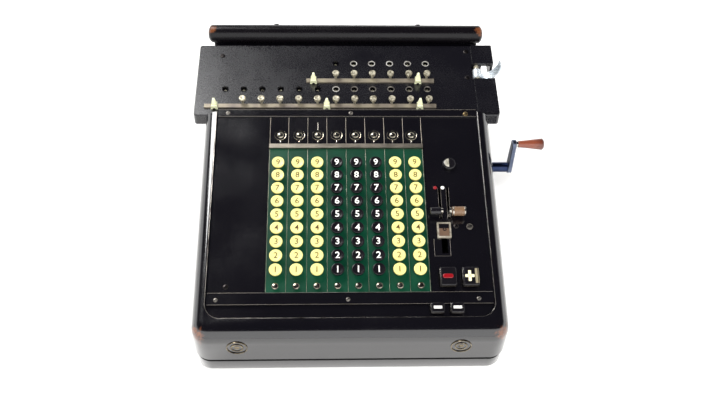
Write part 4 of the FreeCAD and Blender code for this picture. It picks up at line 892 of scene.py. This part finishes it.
for node, (x, side, collar, radius, length) in LEVERS.items():
    turn = np.linspace(0, np.pi, 13)
    blade_side = np.concatenate([
        [(0, LEVER_REST - LEVER_HALF, STEM_FOOT), (0, LEVER_REST + LEVER_HALF, STEM_FOOT)],
        np.stack([0 * turn, LEVER_REST + LEVER_HALF * np.cos(turn),
                  LEVER_LEVEL + radius - LEVER_HALF * (1 - np.sin(turn))], -1)])
    blade = on_panel(prism(blade_side, x - LEVER_THIN, 2 * LEVER_THIN, ACROSS))
    face, grip_end = LEVER_THIN + collar, LEVER_THIN + collar + length
    metal = [blade, lying(round_bar(COLLAR_RADIUS, 0, face + 0.0002, 0.0002), x, side)]
    if node == "count_lever":
        metal += [lying(round_bar(radius, start, start + WASHER, 0.0003), x, side)
                  for start in (face, grip_end - WASHER)]
    grip = skin(node + "_grip", [lying(round_bar(radius - 0.0001, face + 0.0001, grip_end - 0.0001,
                                                 0.0010), x, side)],
                node, black_resin if side < 0 else brown_resin,
                lids=False)
    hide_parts(node)
    skin(node + "_blade", metal, node, nickel)

# Painted highlights: thin bright lines along both edges of each slot.
slot_edges = [lever[0] + side * SLOT_HALF for lever in LEVERS.values() for side in (-1, 1)]
slot_lines = [wire((x, SLOT_ENDS[0], SLOT_LINE_LEVEL), (x, SLOT_ENDS[1], SLOT_LINE_LEVEL),
                   SLOT_LINE_RADIUS) for x in slot_edges]
skin("slot_edges", slot_lines, "root", highlight_and_worn_steel, sharp=60)

# ---------------------------------------------------------------- preset slider
# A satin nickel frame round a brown fibre plate, with a black shade at its upper end and an
# eyelet in the plate. It slides towards the user over a track edged on three sides by thin bright
# lines, which are painted highlights of the track's edges.

PRESET, PRESET_HALF = (0.0846, 0.0824), (0.0063, 0.0077)
PRESET_LOW, PRESET_TOP, PRESET_FLOOR, PRESET_BORDER = 0.0001, 0.0023, 0.0015, 0.0014
EYELET_OFF = (0.0004, 0.0004)
track_left, track_right, track_low, track_high = 0.0750, 0.0894, 0.0575, 0.0745
fibre = glossy("brown_fibre_plate", "#6b5443", "#4a382c", 0.35)
slide_frame = cap(*PRESET, PRESET_HALF, 0.0008, [
    (0, PRESET_LOW), (0, PRESET_TOP - 0.0004), (0.0003, PRESET_TOP), (PRESET_BORDER, PRESET_TOP),
    (PRESET_BORDER + 0.0002, PRESET_FLOOR)])
PRESET_STEM, PRESET_FOOT = 0.0025, -0.0045
slide_stem = post(*PRESET, PRESET_STEM, PRESET_STEM, PRESET_FOOT, PRESET_LOW)
frame_nickel = plated("satin_frame_nickel", "#cdc5b4", 0.34, second="#837a6a", share=0.5,
                      patch=260.0)
preset = skin("preset_frame", [slide_frame, slide_stem], "preset_slider", frame_nickel)
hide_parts("preset_slider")
plate_half = np.array(PRESET_HALF) - PRESET_BORDER - 0.0003
plate_levels = [(0, PRESET_FLOOR), (0, PRESET_FLOOR + 0.0003), (0.0002, PRESET_FLOOR + 0.0004)]
skin("preset_plate", [cap(*PRESET, plate_half, 0.0004, plate_levels)], "preset_slider", fibre)
DARK_SHARE = 0.36
dark_half = plate_half * (1, DARK_SHARE) - (0.0001, 0)
dark_levels = [(0, PRESET_FLOOR), (0, PRESET_FLOOR + 0.00045), (0.0002, PRESET_FLOOR + 0.0005)]
skin("preset_shade", [cap(PRESET[0], PRESET[1] + plate_half[1] - dark_half[1] - 0.0001, dark_half,
                          0.0004, dark_levels)], "preset_slider", black_resin)
eyelet = upright(ring_profile(0.0009, 0.0017, PRESET_FLOOR, PRESET_FLOOR + 0.0009),
                 PRESET[0] + EYELET_OFF[0], PRESET[1] + EYELET_OFF[1], 24)
skin("preset_eyelet", [eyelet], "preset_slider", nickel, lids=False)
# The lines lie low enough for the frame to pass over them.
TRACK_LEVEL, TRACK_RADIUS = -0.00022, 0.00028
track_corners = [(x, row, TRACK_LEVEL) for x, row in (
    (track_right, track_high), (track_right, track_low), (track_left, track_low),
    (track_left, track_high))]
track_lines = [wire(start, end, TRACK_RADIUS)
               for start, end in zip(track_corners, track_corners[1:])]
skin("preset_track", track_lines, "root", highlight_and_worn_steel, sharp=60)

# ---------------------------------------------------------------- selector knob and dots
# A round black resin knob with a half-moon of nickel let into its left half. Two small painted
# dots, one red and one white, mark the far ends of the lever slots.

SELECTOR_X, SELECTOR_RADIUS, SELECTOR_HEIGHT = 0.0935, 0.006, 0.005
MOON_RADIUS, MOON_SHIFT = 0.0043, 0.0005
selector_profile = [(0, 0.0001), (SELECTOR_RADIUS - 0.0004, 0.0001), (SELECTOR_RADIUS, 0.0005),
                    (SELECTOR_RADIUS, 0.0024)]
selector_profile += [(SELECTOR_RADIUS - inset, SELECTOR_HEIGHT - 0.0004 + drop)
                     for inset, drop in quarter(0.0016, 6)]
selector_profile += [(0, SELECTOR_HEIGHT - 0.0004)]
selector = skin("selector_cap", [upright(selector_profile, SELECTOR_X, SELECTOR_ROW, 48)],
                "selector_knob", black_resin, lids=False)
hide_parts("selector_knob")
moon_turn = np.linspace(np.pi / 2, 3 * np.pi / 2, 19)
moon_edge = np.stack([SELECTOR_X - MOON_SHIFT + MOON_RADIUS * np.cos(moon_turn),
                      SELECTOR_ROW + MOON_RADIUS * np.sin(moon_turn)], -1)
moon = np.stack([at_level(moon_edge, level)
                 for level in (SELECTOR_HEIGHT - 0.0008, SELECTOR_HEIGHT)])
moon_nickel = plated("brushed_moon_nickel", "#dedacb", 0.36, second="#8d897b", share=0.3,
                     patch=200.0)
SELECTOR_STEM = 0.0018
selector_stem = post(SELECTOR_X, SELECTOR_ROW, SELECTOR_STEM, SELECTOR_STEM, STEM_FOOT, 0.0001)
skin("selector_moon", [on_panel(moon), selector_stem], "selector_knob", moon_nickel)

DOT_ROW, RED_DOT_X, WHITE_DOT_X, DOT_RADIUS = 0.1266, 0.0791, 0.0860, 0.0017
dot_profile = [(0, 0), (DOT_RADIUS, 0)] + crown(DOT_RADIUS, 0.0001, 0.0004)
red_paint = glossy("red_dot_paint", "#8e2026", "#6c151a", 0.3)
skin("red_dot", [upright(dot_profile, RED_DOT_X, DOT_ROW, 24)], "root", red_paint,
     lids=False)
skin("white_dot", [upright(dot_profile, WHITE_DOT_X, DOT_ROW, 24)], "root", white_ink,
     lids=False)

# ---------------------------------------------------------------- crank
# A blued steel hub on the end of the rotor's shaft, and a tapered arm of blue-grey steel with
# round ends. A nickel-plated ferrule at the arm's head carries the grip's pin.

HUB_RADIUS, HUB_START, HUB_END = 0.0048, 0.124, shaft_place[0]
ARM_LENGTH, ARM_THICK, ARM_FOOT, ARM_HEAD, ARM_EDGE = 0.032, 0.004, 0.0056, 0.0042, 0.0005
FERRULE_RADIUS, FERRULE_LENGTH, PIN_RADIUS, PIN_LENGTH = 0.003, 0.0016, 0.0018, 0.0215
blued_steel = plated("blued_steel", "#28324e", 0.22, second="#3c4664")
grey_steel = plated("blue_grey_steel", "#7d869a", 0.26, second="#565f74")
shaft_line = shaft_place * (0, 1, 1)
head_line = shaft_line + (0, 0, ARM_LENGTH)


def arm_outline(inset):
    """Half a circle under the foot and half a circle over the head, joined by straight flanks."""
    low, high = np.linspace(np.pi, 2 * np.pi, 16), np.linspace(0, np.pi, 16)
    foot, head = ARM_FOOT - inset, ARM_HEAD - inset
    side = np.concatenate([foot * np.cos(low), head * np.cos(high)])
    up = np.concatenate([foot * np.sin(low), ARM_LENGTH + head * np.sin(high)])
    return shaft_line + np.stack([np.zeros(len(side)), side, up], -1)


hub = skin("crank_hub", [turned(round_bar(HUB_RADIUS, HUB_START, HUB_END, 0.0004), shaft_line,
                                ON_SIDE, 40)], "crank", blued_steel, lids=False)
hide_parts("crank")
arm_rows = [(HUB_END - ARM_THICK, ARM_EDGE), (HUB_END - ARM_THICK + ARM_EDGE, 0),
            (HUB_END - ARM_EDGE, 0), (HUB_END, ARM_EDGE)]
arm = np.stack([arm_outline(inset) + (x, 0, 0) for x, inset in arm_rows])
skin("crank_arm", [arm], "crank", grey_steel)
skin("crank_pin", [turned(round_bar(FERRULE_RADIUS, HUB_END - ARM_THICK / 2,
                                    HUB_END + FERRULE_LENGTH, 0.0003), head_line, ON_SIDE),
                   turned(round_bar(PIN_RADIUS, HUB_END, HUB_END + PIN_LENGTH, 0.0003), head_line,
                          ON_SIDE)], "crank", nickel, lids=False)

# ---------------------------------------------------------------- crank grip
# A pear-shaped grip of beech, turned and lacquered red-brown, with its end worn darker. It
# turns freely on the crank's pin.

GRIP_START, GRIP_LENGTH = HUB_END + 0.0019, 0.025
GRIP_ROOT, GRIP_END, GRIP_ROUND = 0.0032, 0.0056, 0.0030


def lacquered_wood(name, light, dark, end, start_x, end_x):
    """Turned and lacquered beech: streaks about 1 mm apart, and a darker end where it is held."""
    finish, tree, body, place = new_finish(name)
    along = add(tree, "ShaderNodeMapping", {3: (0.06, 1, 1)}, {0: place})
    streaks = noise(tree, along.outputs[0], 900.0, 4.0)
    split = add(tree, "ShaderNodeSeparateXYZ", links={0: place})
    reach = stretch(tree, split.outputs["X"], 0.0, 1.0, start_x, end_x)
    tint = blend(tree, reach, blend(tree, streaks, light, dark), end)
    tree.links.new(tint, body.inputs["Base Color"])
    tree.links.new(stretch(tree, streaks, 0.2, 0.38), body.inputs["Roughness"])
    body.inputs["Coat Weight"].default_value = 0.6
    body.inputs["Coat Roughness"].default_value = 0.12
    return finish


swell = np.linspace(0, 1, 14)
pear = [(0, 0), (GRIP_ROOT - 0.0004, 0), (GRIP_ROOT, 0.0004)]
pear += list(zip(GRIP_ROOT + (GRIP_END - GRIP_ROOT) * swell[1:] ** 1.2,
                 0.0004 + (GRIP_LENGTH - GRIP_ROUND - 0.0004) * swell[1:]))
pear += crown(GRIP_END, GRIP_LENGTH - GRIP_ROUND, GRIP_LENGTH, 9)[1:]
wood = lacquered_wood("lacquered_beech", "#8a4a33", "#5c2a1c", "#3c1c18", GRIP_START + 0.014,
                      GRIP_START + 0.026)
grip = skin("wooden_grip", [turned(pear, head_line + (GRIP_START, 0, 0), ON_SIDE, 40)],
            "crank_grip", wood, lids=False)
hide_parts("crank_grip")

# ---------------------------------------------------------------- pinwheel rotor
# Eight wheels with their pins on the crank's cross shaft, machined out of steel. The shaft turns
# in the bores of the tray's two pedestals, closed in by the case. The solid's own mesh is kept.

coat_node("pinwheel_rotor", plated("machined_steel", "#b9b6b0", 0.3))

# ---------------------------------------------------------------- rear roll cover
# A sheet-steel roll on an upright wall that stands on the deck behind the carriage. Its domed
# ends are worn through to coppery primer. Two small screw heads stand on its back.

ROLL_RADIUS, ROLL_HALF, ROLL_DOME, ROLL_CUTS = 0.009, 0.140, 0.005, 66
ROLL_LINE = np.array([0, case_low.y + 0.3265, 0.1123])
WALL_HALF, WALL_FRONT, WALL_BACK = 0.134, case_low.y + 0.3210, case_low.y + 0.3335
NUB_PLACES, NUB_TURN, NUB_RADIUS = (-0.0708, 0.0733), np.radians(48), 0.0028

straight = np.linspace(ROLL_DOME - ROLL_HALF, ROLL_HALF - ROLL_DOME, ROLL_CUTS)
roll_end = crown(ROLL_RADIUS, 0, ROLL_DOME, 9)
roll_profile = [(radius, straight[0] - out) for radius, out in roll_end[::-1]]
roll_profile += [(ROLL_RADIUS, place) for place in straight[1:-1]]
roll_profile += [(radius, straight[-1] + out) for radius, out in roll_end]
dulled_enamel = enamel("dulled_roll_enamel", "#0a080b", 0.20, coat=0.0, wear=0.70, index=1.38)
roll = skin("rear_roll", [turned(roll_profile, ROLL_LINE, ON_SIDE, 48)], "root", dulled_enamel,
            lids=False)
ROLL_WEAR = 0.008
wear_near(roll, [ROLL_LINE + (side * (ROLL_HALF - 0.004), -0.003, 0.008) for side in (-1, 1)],
          ROLL_WEAR)
wall_outline = [(0, WALL_FRONT, DECK), (0, WALL_BACK, DECK), (0, WALL_BACK, ROLL_LINE[2]),
                (0, WALL_FRONT, ROLL_LINE[2])]
skin("rear_wall", [prism(wall_outline, -WALL_HALF, 2 * WALL_HALF, ACROSS)], "root", black_enamel)
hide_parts("rear_roll_cover")
nub_out = np.array([0, np.sin(NUB_TURN), np.cos(NUB_TURN)])
nub_ways = np.stack([ACROSS, np.cross(nub_out, ACROSS), nub_out])
nub_profile = [(0, -0.001), (NUB_RADIUS, -0.001)] + crown(NUB_RADIUS, 0.0002, 0.0011)
skin("roll_nubs", [turned(nub_profile, ROLL_LINE + (x, 0, 0) + ROLL_RADIUS * nub_out, nub_ways, 24)
                   for x in NUB_PLACES], "root", black_enamel, lids=False)

# ---------------------------------------------------------------- front locks
# Two round locks in the front wall that hold the case to its tray: a thin rim of worn nickel, a
# raised inner ring and a stud on a flat black disc, painted shade in place of a sunk well.

LOCK_PLACES, LOCK_HEIGHT = (-0.0969, 0.0943), 0.0404
LOCK_RIM, LOCK_RING, LOCK_WELL, LOCK_STUD = (0.0083, 0.0090), (0.0043, 0.0054), 0.0044, 0.0024
OUTWARDS = np.array([(1.0, 0.0, 0.0), (0.0, 0.0, 1.0), (0.0, -1.0, 0.0)])


def at_locks(profile):
    """A turned form that faces forwards at both locks."""
    return [turned(profile, (x, case_low.y, LOCK_HEIGHT), OUTWARDS, 48) for x in LOCK_PLACES]


lock_nickel = plated("worn_lock_nickel", "#a0937a", 0.26, second="#3e3832", patch=300.0)
locks = skin("lock_rims", at_locks(ring_profile(*LOCK_RIM, -0.0005, 0.0007))
             + at_locks(ring_profile(*LOCK_RING, -0.0005, 0.0006))
             + at_locks([(0, 0)] + crown(LOCK_STUD, 0.0002, 0.0008)), "root", lock_nickel,
             lids=False)
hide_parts("front_locks")
# Painted shade: a flat black disc inside each ring stands in for the shaded sunk well.
skin("lock_shade_discs", at_locks([(0, -0.0004), (LOCK_WELL, -0.0004), (LOCK_WELL, 0.0002), (0, 0.0002)]),
     "root", black_enamel, lids=False)

# ---------------------------------------------------------------- register carriage
# A folded sheet-steel cover that slides across the deck, enamelled satin black. Eyelets are
# pressed into its round windows. Their bright, dull and black nickel copies are painted glints
# and painted shade: the counter's are bright but for a black one, and the register's are dull
# and black but for a bright one.

KNOB_ROWS = (0.0153, 0.048)
carriage_ways = sloping("result_knob_1_turn")
carriage_start = (np.array(joints["result_knob_1_turn"]["pos_m"]) * (0, 1, 1)
                  - KNOB_ROWS[0] * carriage_ways[1])


def on_carriage(points):
    """Places given across, up the slope and out of the carriage, in the machine's own frame."""
    return np.asarray(points, float) @ carriage_ways + carriage_start


satin_enamel = enamel("satin_black_enamel", "#0b0a0f", 0.20, coat=0.15)
coat_node("carriage_cover", satin_enamel)
DIAL_COUNT, COUNTER_COUNT, DIAL_PITCH, FIRST_DIAL = 12, 6, 0.018, 0.079
dial_places = FIRST_DIAL - np.arange(DIAL_COUNT) * DIAL_PITCH
counter_places = dial_places[:COUNTER_COUNT]
WINDOW_ROWS = (0.033, 0.0668)
EYELET = (0.0028, 0.0035, -0.0004, 0.0004)
# The register's first windows, from the right, have dull eyelets, painted shade. One bright one, a
# painted glint, follows, then black ones, painted shade.
FIRST_BRIGHT, FIRST_BLACK = 5, 6


def eyelets(places, row):
    """An eyelet at each place of one row of windows."""
    return [on_carriage(turned(ring_profile(*EYELET), (x, row, 0), UPRIGHT, 32)) for x in places]


# Bright nickel for the eyelets that show a ring: a painted glint.
glint_eyelet_nickel = plated("painted_glint_eyelet_nickel", "#f0ede6", 0.30, second="#8f8b84", share=0.45,
                       patch=260.0)
skin("glinting_eyelets", eyelets(counter_places[:-1], WINDOW_ROWS[1])
     + eyelets(dial_places[FIRST_BRIGHT:FIRST_BLACK], WINDOW_ROWS[0]), "carriage", glint_eyelet_nickel,
     lids=False)
# A darker nickel: tarnish on the screws, and painted shade on the dull eyelets.
tarnish_and_shade_nickel = plated("tarnished_and_shaded_nickel", "#a8a298", 0.28, second="#2e2a2a", share=0.6, patch=260.0)
skin("shaded_dull_eyelets", eyelets(dial_places[:FIRST_BRIGHT], WINDOW_ROWS[0]), "carriage", tarnish_and_shade_nickel,
     lids=False)
skin("shaded_black_eyelets", eyelets(dial_places[FIRST_BLACK:], WINDOW_ROWS[0])
     + eyelets(counter_places[-1:], WINDOW_ROWS[1]), "carriage", black_enamel,
     lids=False)

# ---------------------------------------------------------------- number wheels
# Black enamelled drums with ten ivory figures each, on one axle for each register. One figure of
# each shows in its window.

WHEEL_RADIUS, WHEEL_HALF, WHEEL_DROP, WHEEL_AXLE = 0.006, 0.004, 0.0085, 0.0015
WHEEL_FIGURE, DIGITS, AXLE_OUT = 0.0030, 10, 0.003
wheel_figures = [figure(str(digit), WHEEL_FIGURE) for digit in range(DIGITS)]
ivory_ink = glossy("ivory_figure_paint", "#b9b49a", "#9c967c", 0.4)
DRUM_PROFILE = [(0, -WHEEL_HALF), (WHEEL_RADIUS - 0.0003, -WHEEL_HALF),
                (WHEEL_RADIUS, 0.0003 - WHEEL_HALF), (WHEEL_RADIUS, WHEEL_HALF - 0.0003),
                (WHEEL_RADIUS - 0.0003, WHEEL_HALF), (0, WHEEL_HALF)]
for node, places, row in (("result_wheels", dial_places, WINDOW_ROWS[0]),
                          ("counter_wheels", counter_places, WINDOW_ROWS[1])):
    drums = [on_carriage(turned(DRUM_PROFILE, (x, row, -WHEEL_DROP), ON_SIDE, 40)) for x in places]
    axle_ends = np.array([places[-1] - WHEEL_HALF - AXLE_OUT, places[0] + WHEEL_HALF + AXLE_OUT])
    axle_profile = [(0, axle_ends[0]), (WHEEL_AXLE, axle_ends[0]), (WHEEL_AXLE, axle_ends[1]),
                    (0, axle_ends[1])]
    wheels = skin(node + "_drums", drums, node, black_enamel, lids=False)
    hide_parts(node)
    skin(node + "_axle", [on_carriage(turned(axle_profile, (0, row, -WHEEL_DROP), ON_SIDE, 24))],
         node, stem_steel, lids=False)

    def round_drum(flat):
        """A figure's distance up becomes an angle round the drum."""
        turn, reach = flat[:, 1] / WHEEL_RADIUS, WHEEL_RADIUS + FIGURE_LIFT
        return on_carriage(np.column_stack([flat[:, 0], row + reach * np.sin(turn),
                                            reach * np.cos(turn) - WHEEL_DROP]))

    step = 2 * np.pi * WHEEL_RADIUS / DIGITS
    marks = [(flat + (x, digit * step), faces) for x in places
             for digit, (flat, faces) in enumerate(wheel_figures)]
    inlay(node + "_figures", marks, round_drum, node, ivory_ink)

# ---------------------------------------------------------------- setting knobs
# Small milled knobs of nickel-plated brass, wider at the top. Each is in one with its spindle,
# which passes through the cover.

KNOB_FLUTES, KNOB_FLUTE_DEPTH, KNOB_FLUTED_ROWS = 10, 0.07, (4, 6)
knob_profile = [(0, -0.005), (0.0012, -0.005), (0.0012, 0.0039), (0.0024, 0.0040), (0.0027, 0.0044),
                (0.0031, 0.0066), (0.0033, 0.0073), (0.0031, 0.0079), (0.0026, 0.0080),
                (0.0018, 0.0078), (0, 0.0078)]
warm_nickel = plated("warm_knob_nickel", "#efe8cf", 0.26, second="#5e553f", share=0.6, patch=420.0)
knob_places = [(f"result_knob_{number}", x, KNOB_ROWS[0])
               for number, x in enumerate(dial_places[:-1], start=1)]
knob_places += [(f"counter_knob_{number}", x, KNOB_ROWS[1])
                for number, x in enumerate(counter_places, start=1)]
for node, x, row in knob_places:
    knob = skin(node + "_head", [on_carriage(turned(
        knob_profile, (x, row, 0), UPRIGHT, 40, KNOB_FLUTES, KNOB_FLUTE_DEPTH,
        *KNOB_FLUTED_ROWS))], node, warm_nickel, lids=False)
    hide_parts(node)

# ---------------------------------------------------------------- decimal rails and markers
# Two drawn nickel-silver rails along the cover. Five ivory arrows straddle them, each with two
# splayed legs in front and an upright fin for a fingertip.

coat_node("decimal_rails", plated("drawn_nickel_silver", "#9a917c", 0.34, streak=(0.04, 1, 1),
                                  second="#6f6660", share=0.5))
RAIL_ROWS = (0.0108, 0.0434)
ivory = glossy("ivory_marker_enamel", "#eef0cc", "#dcdcb2", 0.26)
# Each: across, and which rail.
MARKERS = {"lower_marker_left": (-0.128, 0), "lower_marker_middle": (-0.020, 0),
           "lower_marker_right": (0.070, 0), "upper_marker_left": (-0.033, 1),
           "upper_marker_right": (0.070, 1)}
LEGS, SADDLE, FIN = (-0.0036, -0.0026), (-0.0036, 0.0030), (-0.0015, 0.0007)
leg_outline = [(-0.0034, 0.0002), (-0.0026, 0.0052), (0.0026, 0.0052), (0.0034, 0.0002),
               (0.0016, 0.0002), (0.0, 0.0034), (-0.0016, 0.0002)]
saddle_outline = [(-0.0028, 0.0018), (0.0028, 0.0018), (0.0026, 0.0038), (-0.0026, 0.0038)]
fin_outline = [(-0.0026, 0.0036), (0.0026, 0.0036), (0.0020, 0.0074), (0.0009, 0.0118),
               (0.0, 0.0120), (-0.0009, 0.0118), (-0.0020, 0.0074)]


def across_rail(outline, x, row, start, end):
    """An outline of places across and out of the cover, carried up the slope."""
    flat = [(x + side, row, out) for side, out in outline]
    return on_carriage(prism(flat, start, end - start, UPRIGHT[1]))


for node, (x, rail_number) in MARKERS.items():
    parts = [across_rail(outline, x, RAIL_ROWS[rail_number], *run) for outline, run in (
        (leg_outline, LEGS), (saddle_outline, SADDLE), (fin_outline, FIN))]
    marker = skin(node + "_arrow", parts, node, ivory)
    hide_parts(node)

# ---------------------------------------------------------------- clearing lever and shaft
# A polished blade that curves up from its hub, on a round shaft in the carriage's notch. It is
# nickel-plated steel, and the shaft ends in two ears of the cover.

CLEARING_X, CLEARING_LEVEL = 0.1305, -0.0032
SHAFT_RADIUS, SHAFT_RUN = 0.0026, (0.0445, 0.0685)
LEVER_RUN, LEVER_HUB = (0.0495, 0.0595), 0.0046
BLADE_REACH, BLADE_RISE, BLADE_THICK = 0.019, 0.021, 0.0014
UP_SLOPE = np.array([(1.0, 0.0, 0.0), (0.0, 0.0, 1.0), (0.0, 1.0, 0.0)])
polished_steel = plated("polished_blade_steel", "#eef4f8", 0.20, second="#c9d4dc", share=0.6)


def blade_line(inset, steps=22):
    """A quarter of an ellipse that leaves the hub level and ends upright."""
    turn = np.linspace(0, np.pi / 2, steps)
    return np.stack([CLEARING_X + 0.6 * LEVER_HUB + (BLADE_REACH - inset) * np.sin(turn),
                     np.zeros(steps), CLEARING_LEVEL - LEVER_HUB + inset
                     + (BLADE_RISE - inset) * (1 - np.cos(turn))], -1)


blade_outline = np.concatenate([blade_line(0), blade_line(BLADE_THICK)[::-1]])
blade = on_carriage(prism(blade_outline, LEVER_RUN[0], LEVER_RUN[1] - LEVER_RUN[0], UPRIGHT[1]))
hub_tube = ring_profile(SHAFT_RADIUS + 0.0002, LEVER_HUB, *LEVER_RUN)
lever_hub = on_carriage(turned(hub_tube, (CLEARING_X, 0, CLEARING_LEVEL), UP_SLOPE, 40))
lever = skin("clearing_blade", [blade], "clearing_lever", polished_steel)
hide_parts("clearing_lever")
skin("clearing_hub", [lever_hub], "clearing_lever", polished_steel, lids=False)
shaft_profile = [(0, SHAFT_RUN[0]), (SHAFT_RADIUS, SHAFT_RUN[0]), (SHAFT_RADIUS, SHAFT_RUN[1]),
                 (0, SHAFT_RUN[1])]
shaft = skin("clearing_rod", [on_carriage(turned(shaft_profile, (CLEARING_X, 0, CLEARING_LEVEL),
                                                 UP_SLOPE, 40))], "carriage", warm_nickel,
             lids=False)
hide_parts("clearing_shaft")

# ---------------------------------------------------------------- screws
# Slotted steel screws that hold the plates, the front strip, the retainer and the carriage
# cover. Each is a low dome with a filed slot. Most are blackened, and a few are bright.


def screws(name, places, level, radius, finish, angle, lift=on_panel, body="root"):
    """Low domes at one level, each with a dark bar for its slot. places are across and up."""
    dome = [(0, -0.0004), (radius, -0.0004)] + crown(radius, 0.0002, 0.0002 + 0.3 * radius)
    skin(name, [lift(turned(dome, (*place, level), UPRIGHT, 24)) for place in places], body,
         finish, lids=False)
    along = np.array([np.cos(angle), np.sin(angle)]) * 0.8 * radius
    beside = np.array([-np.sin(angle), np.cos(angle)]) * 0.13 * radius
    corners = np.array([-along - beside, along - beside, along + beside, beside - along])
    bars = [lift(np.stack([at_level(corners + place, level + up)
                           for up in (0.0002, 0.00028 + 0.3 * radius)])) for place in places]
    skin(name + "_slots", bars, body, black_enamel)


black_steel = plated("blackened_screw_steel", "#55504e", 0.3, second="#2b2828")
brass_steel = plated("brassy_screw_steel", "#a8926a", 0.32, second="#6f5c3c")
# Each: name, places across and up the slope, level, radius, finish and the slot's turn.
PANEL_SCREWS = (
    ("strip_screws", ((-0.1157, 0.0167), (-0.0023, 0.0167), (0.1108, 0.0167)), STRIP_TOP, 0.0019,
     tarnish_and_shade_nickel, 0.5),
    ("plate_screws", ((-0.1078, 0.0291), (0.0958, 0.0870)), 0, 0.0024, black_steel, 1.1),
    ("bright_plate_screw", ((0.108, 0.0865),), 0, 0.0030, highlight_and_worn_steel, 0.1),
    ("retainer_screws", ((-0.114, 0.208), (0.003, 0.208)), RETAINER_TOP, 0.0021, tarnish_and_shade_nickel, 0.9),
    ("brassy_retainer_screw", ((0.113, 0.207),), RETAINER_TOP, 0.0024, brass_steel, 0.2))
COVER_SCREWS = ((-0.1242, 0.0771), (0.1214, 0.0836), (0.1200, 0.0486))
for settings in PANEL_SCREWS:
    screws(*settings)
screws("cover_screws", COVER_SCREWS, 0, 0.0026, black_steel, 0.3, on_carriage, "carriage")
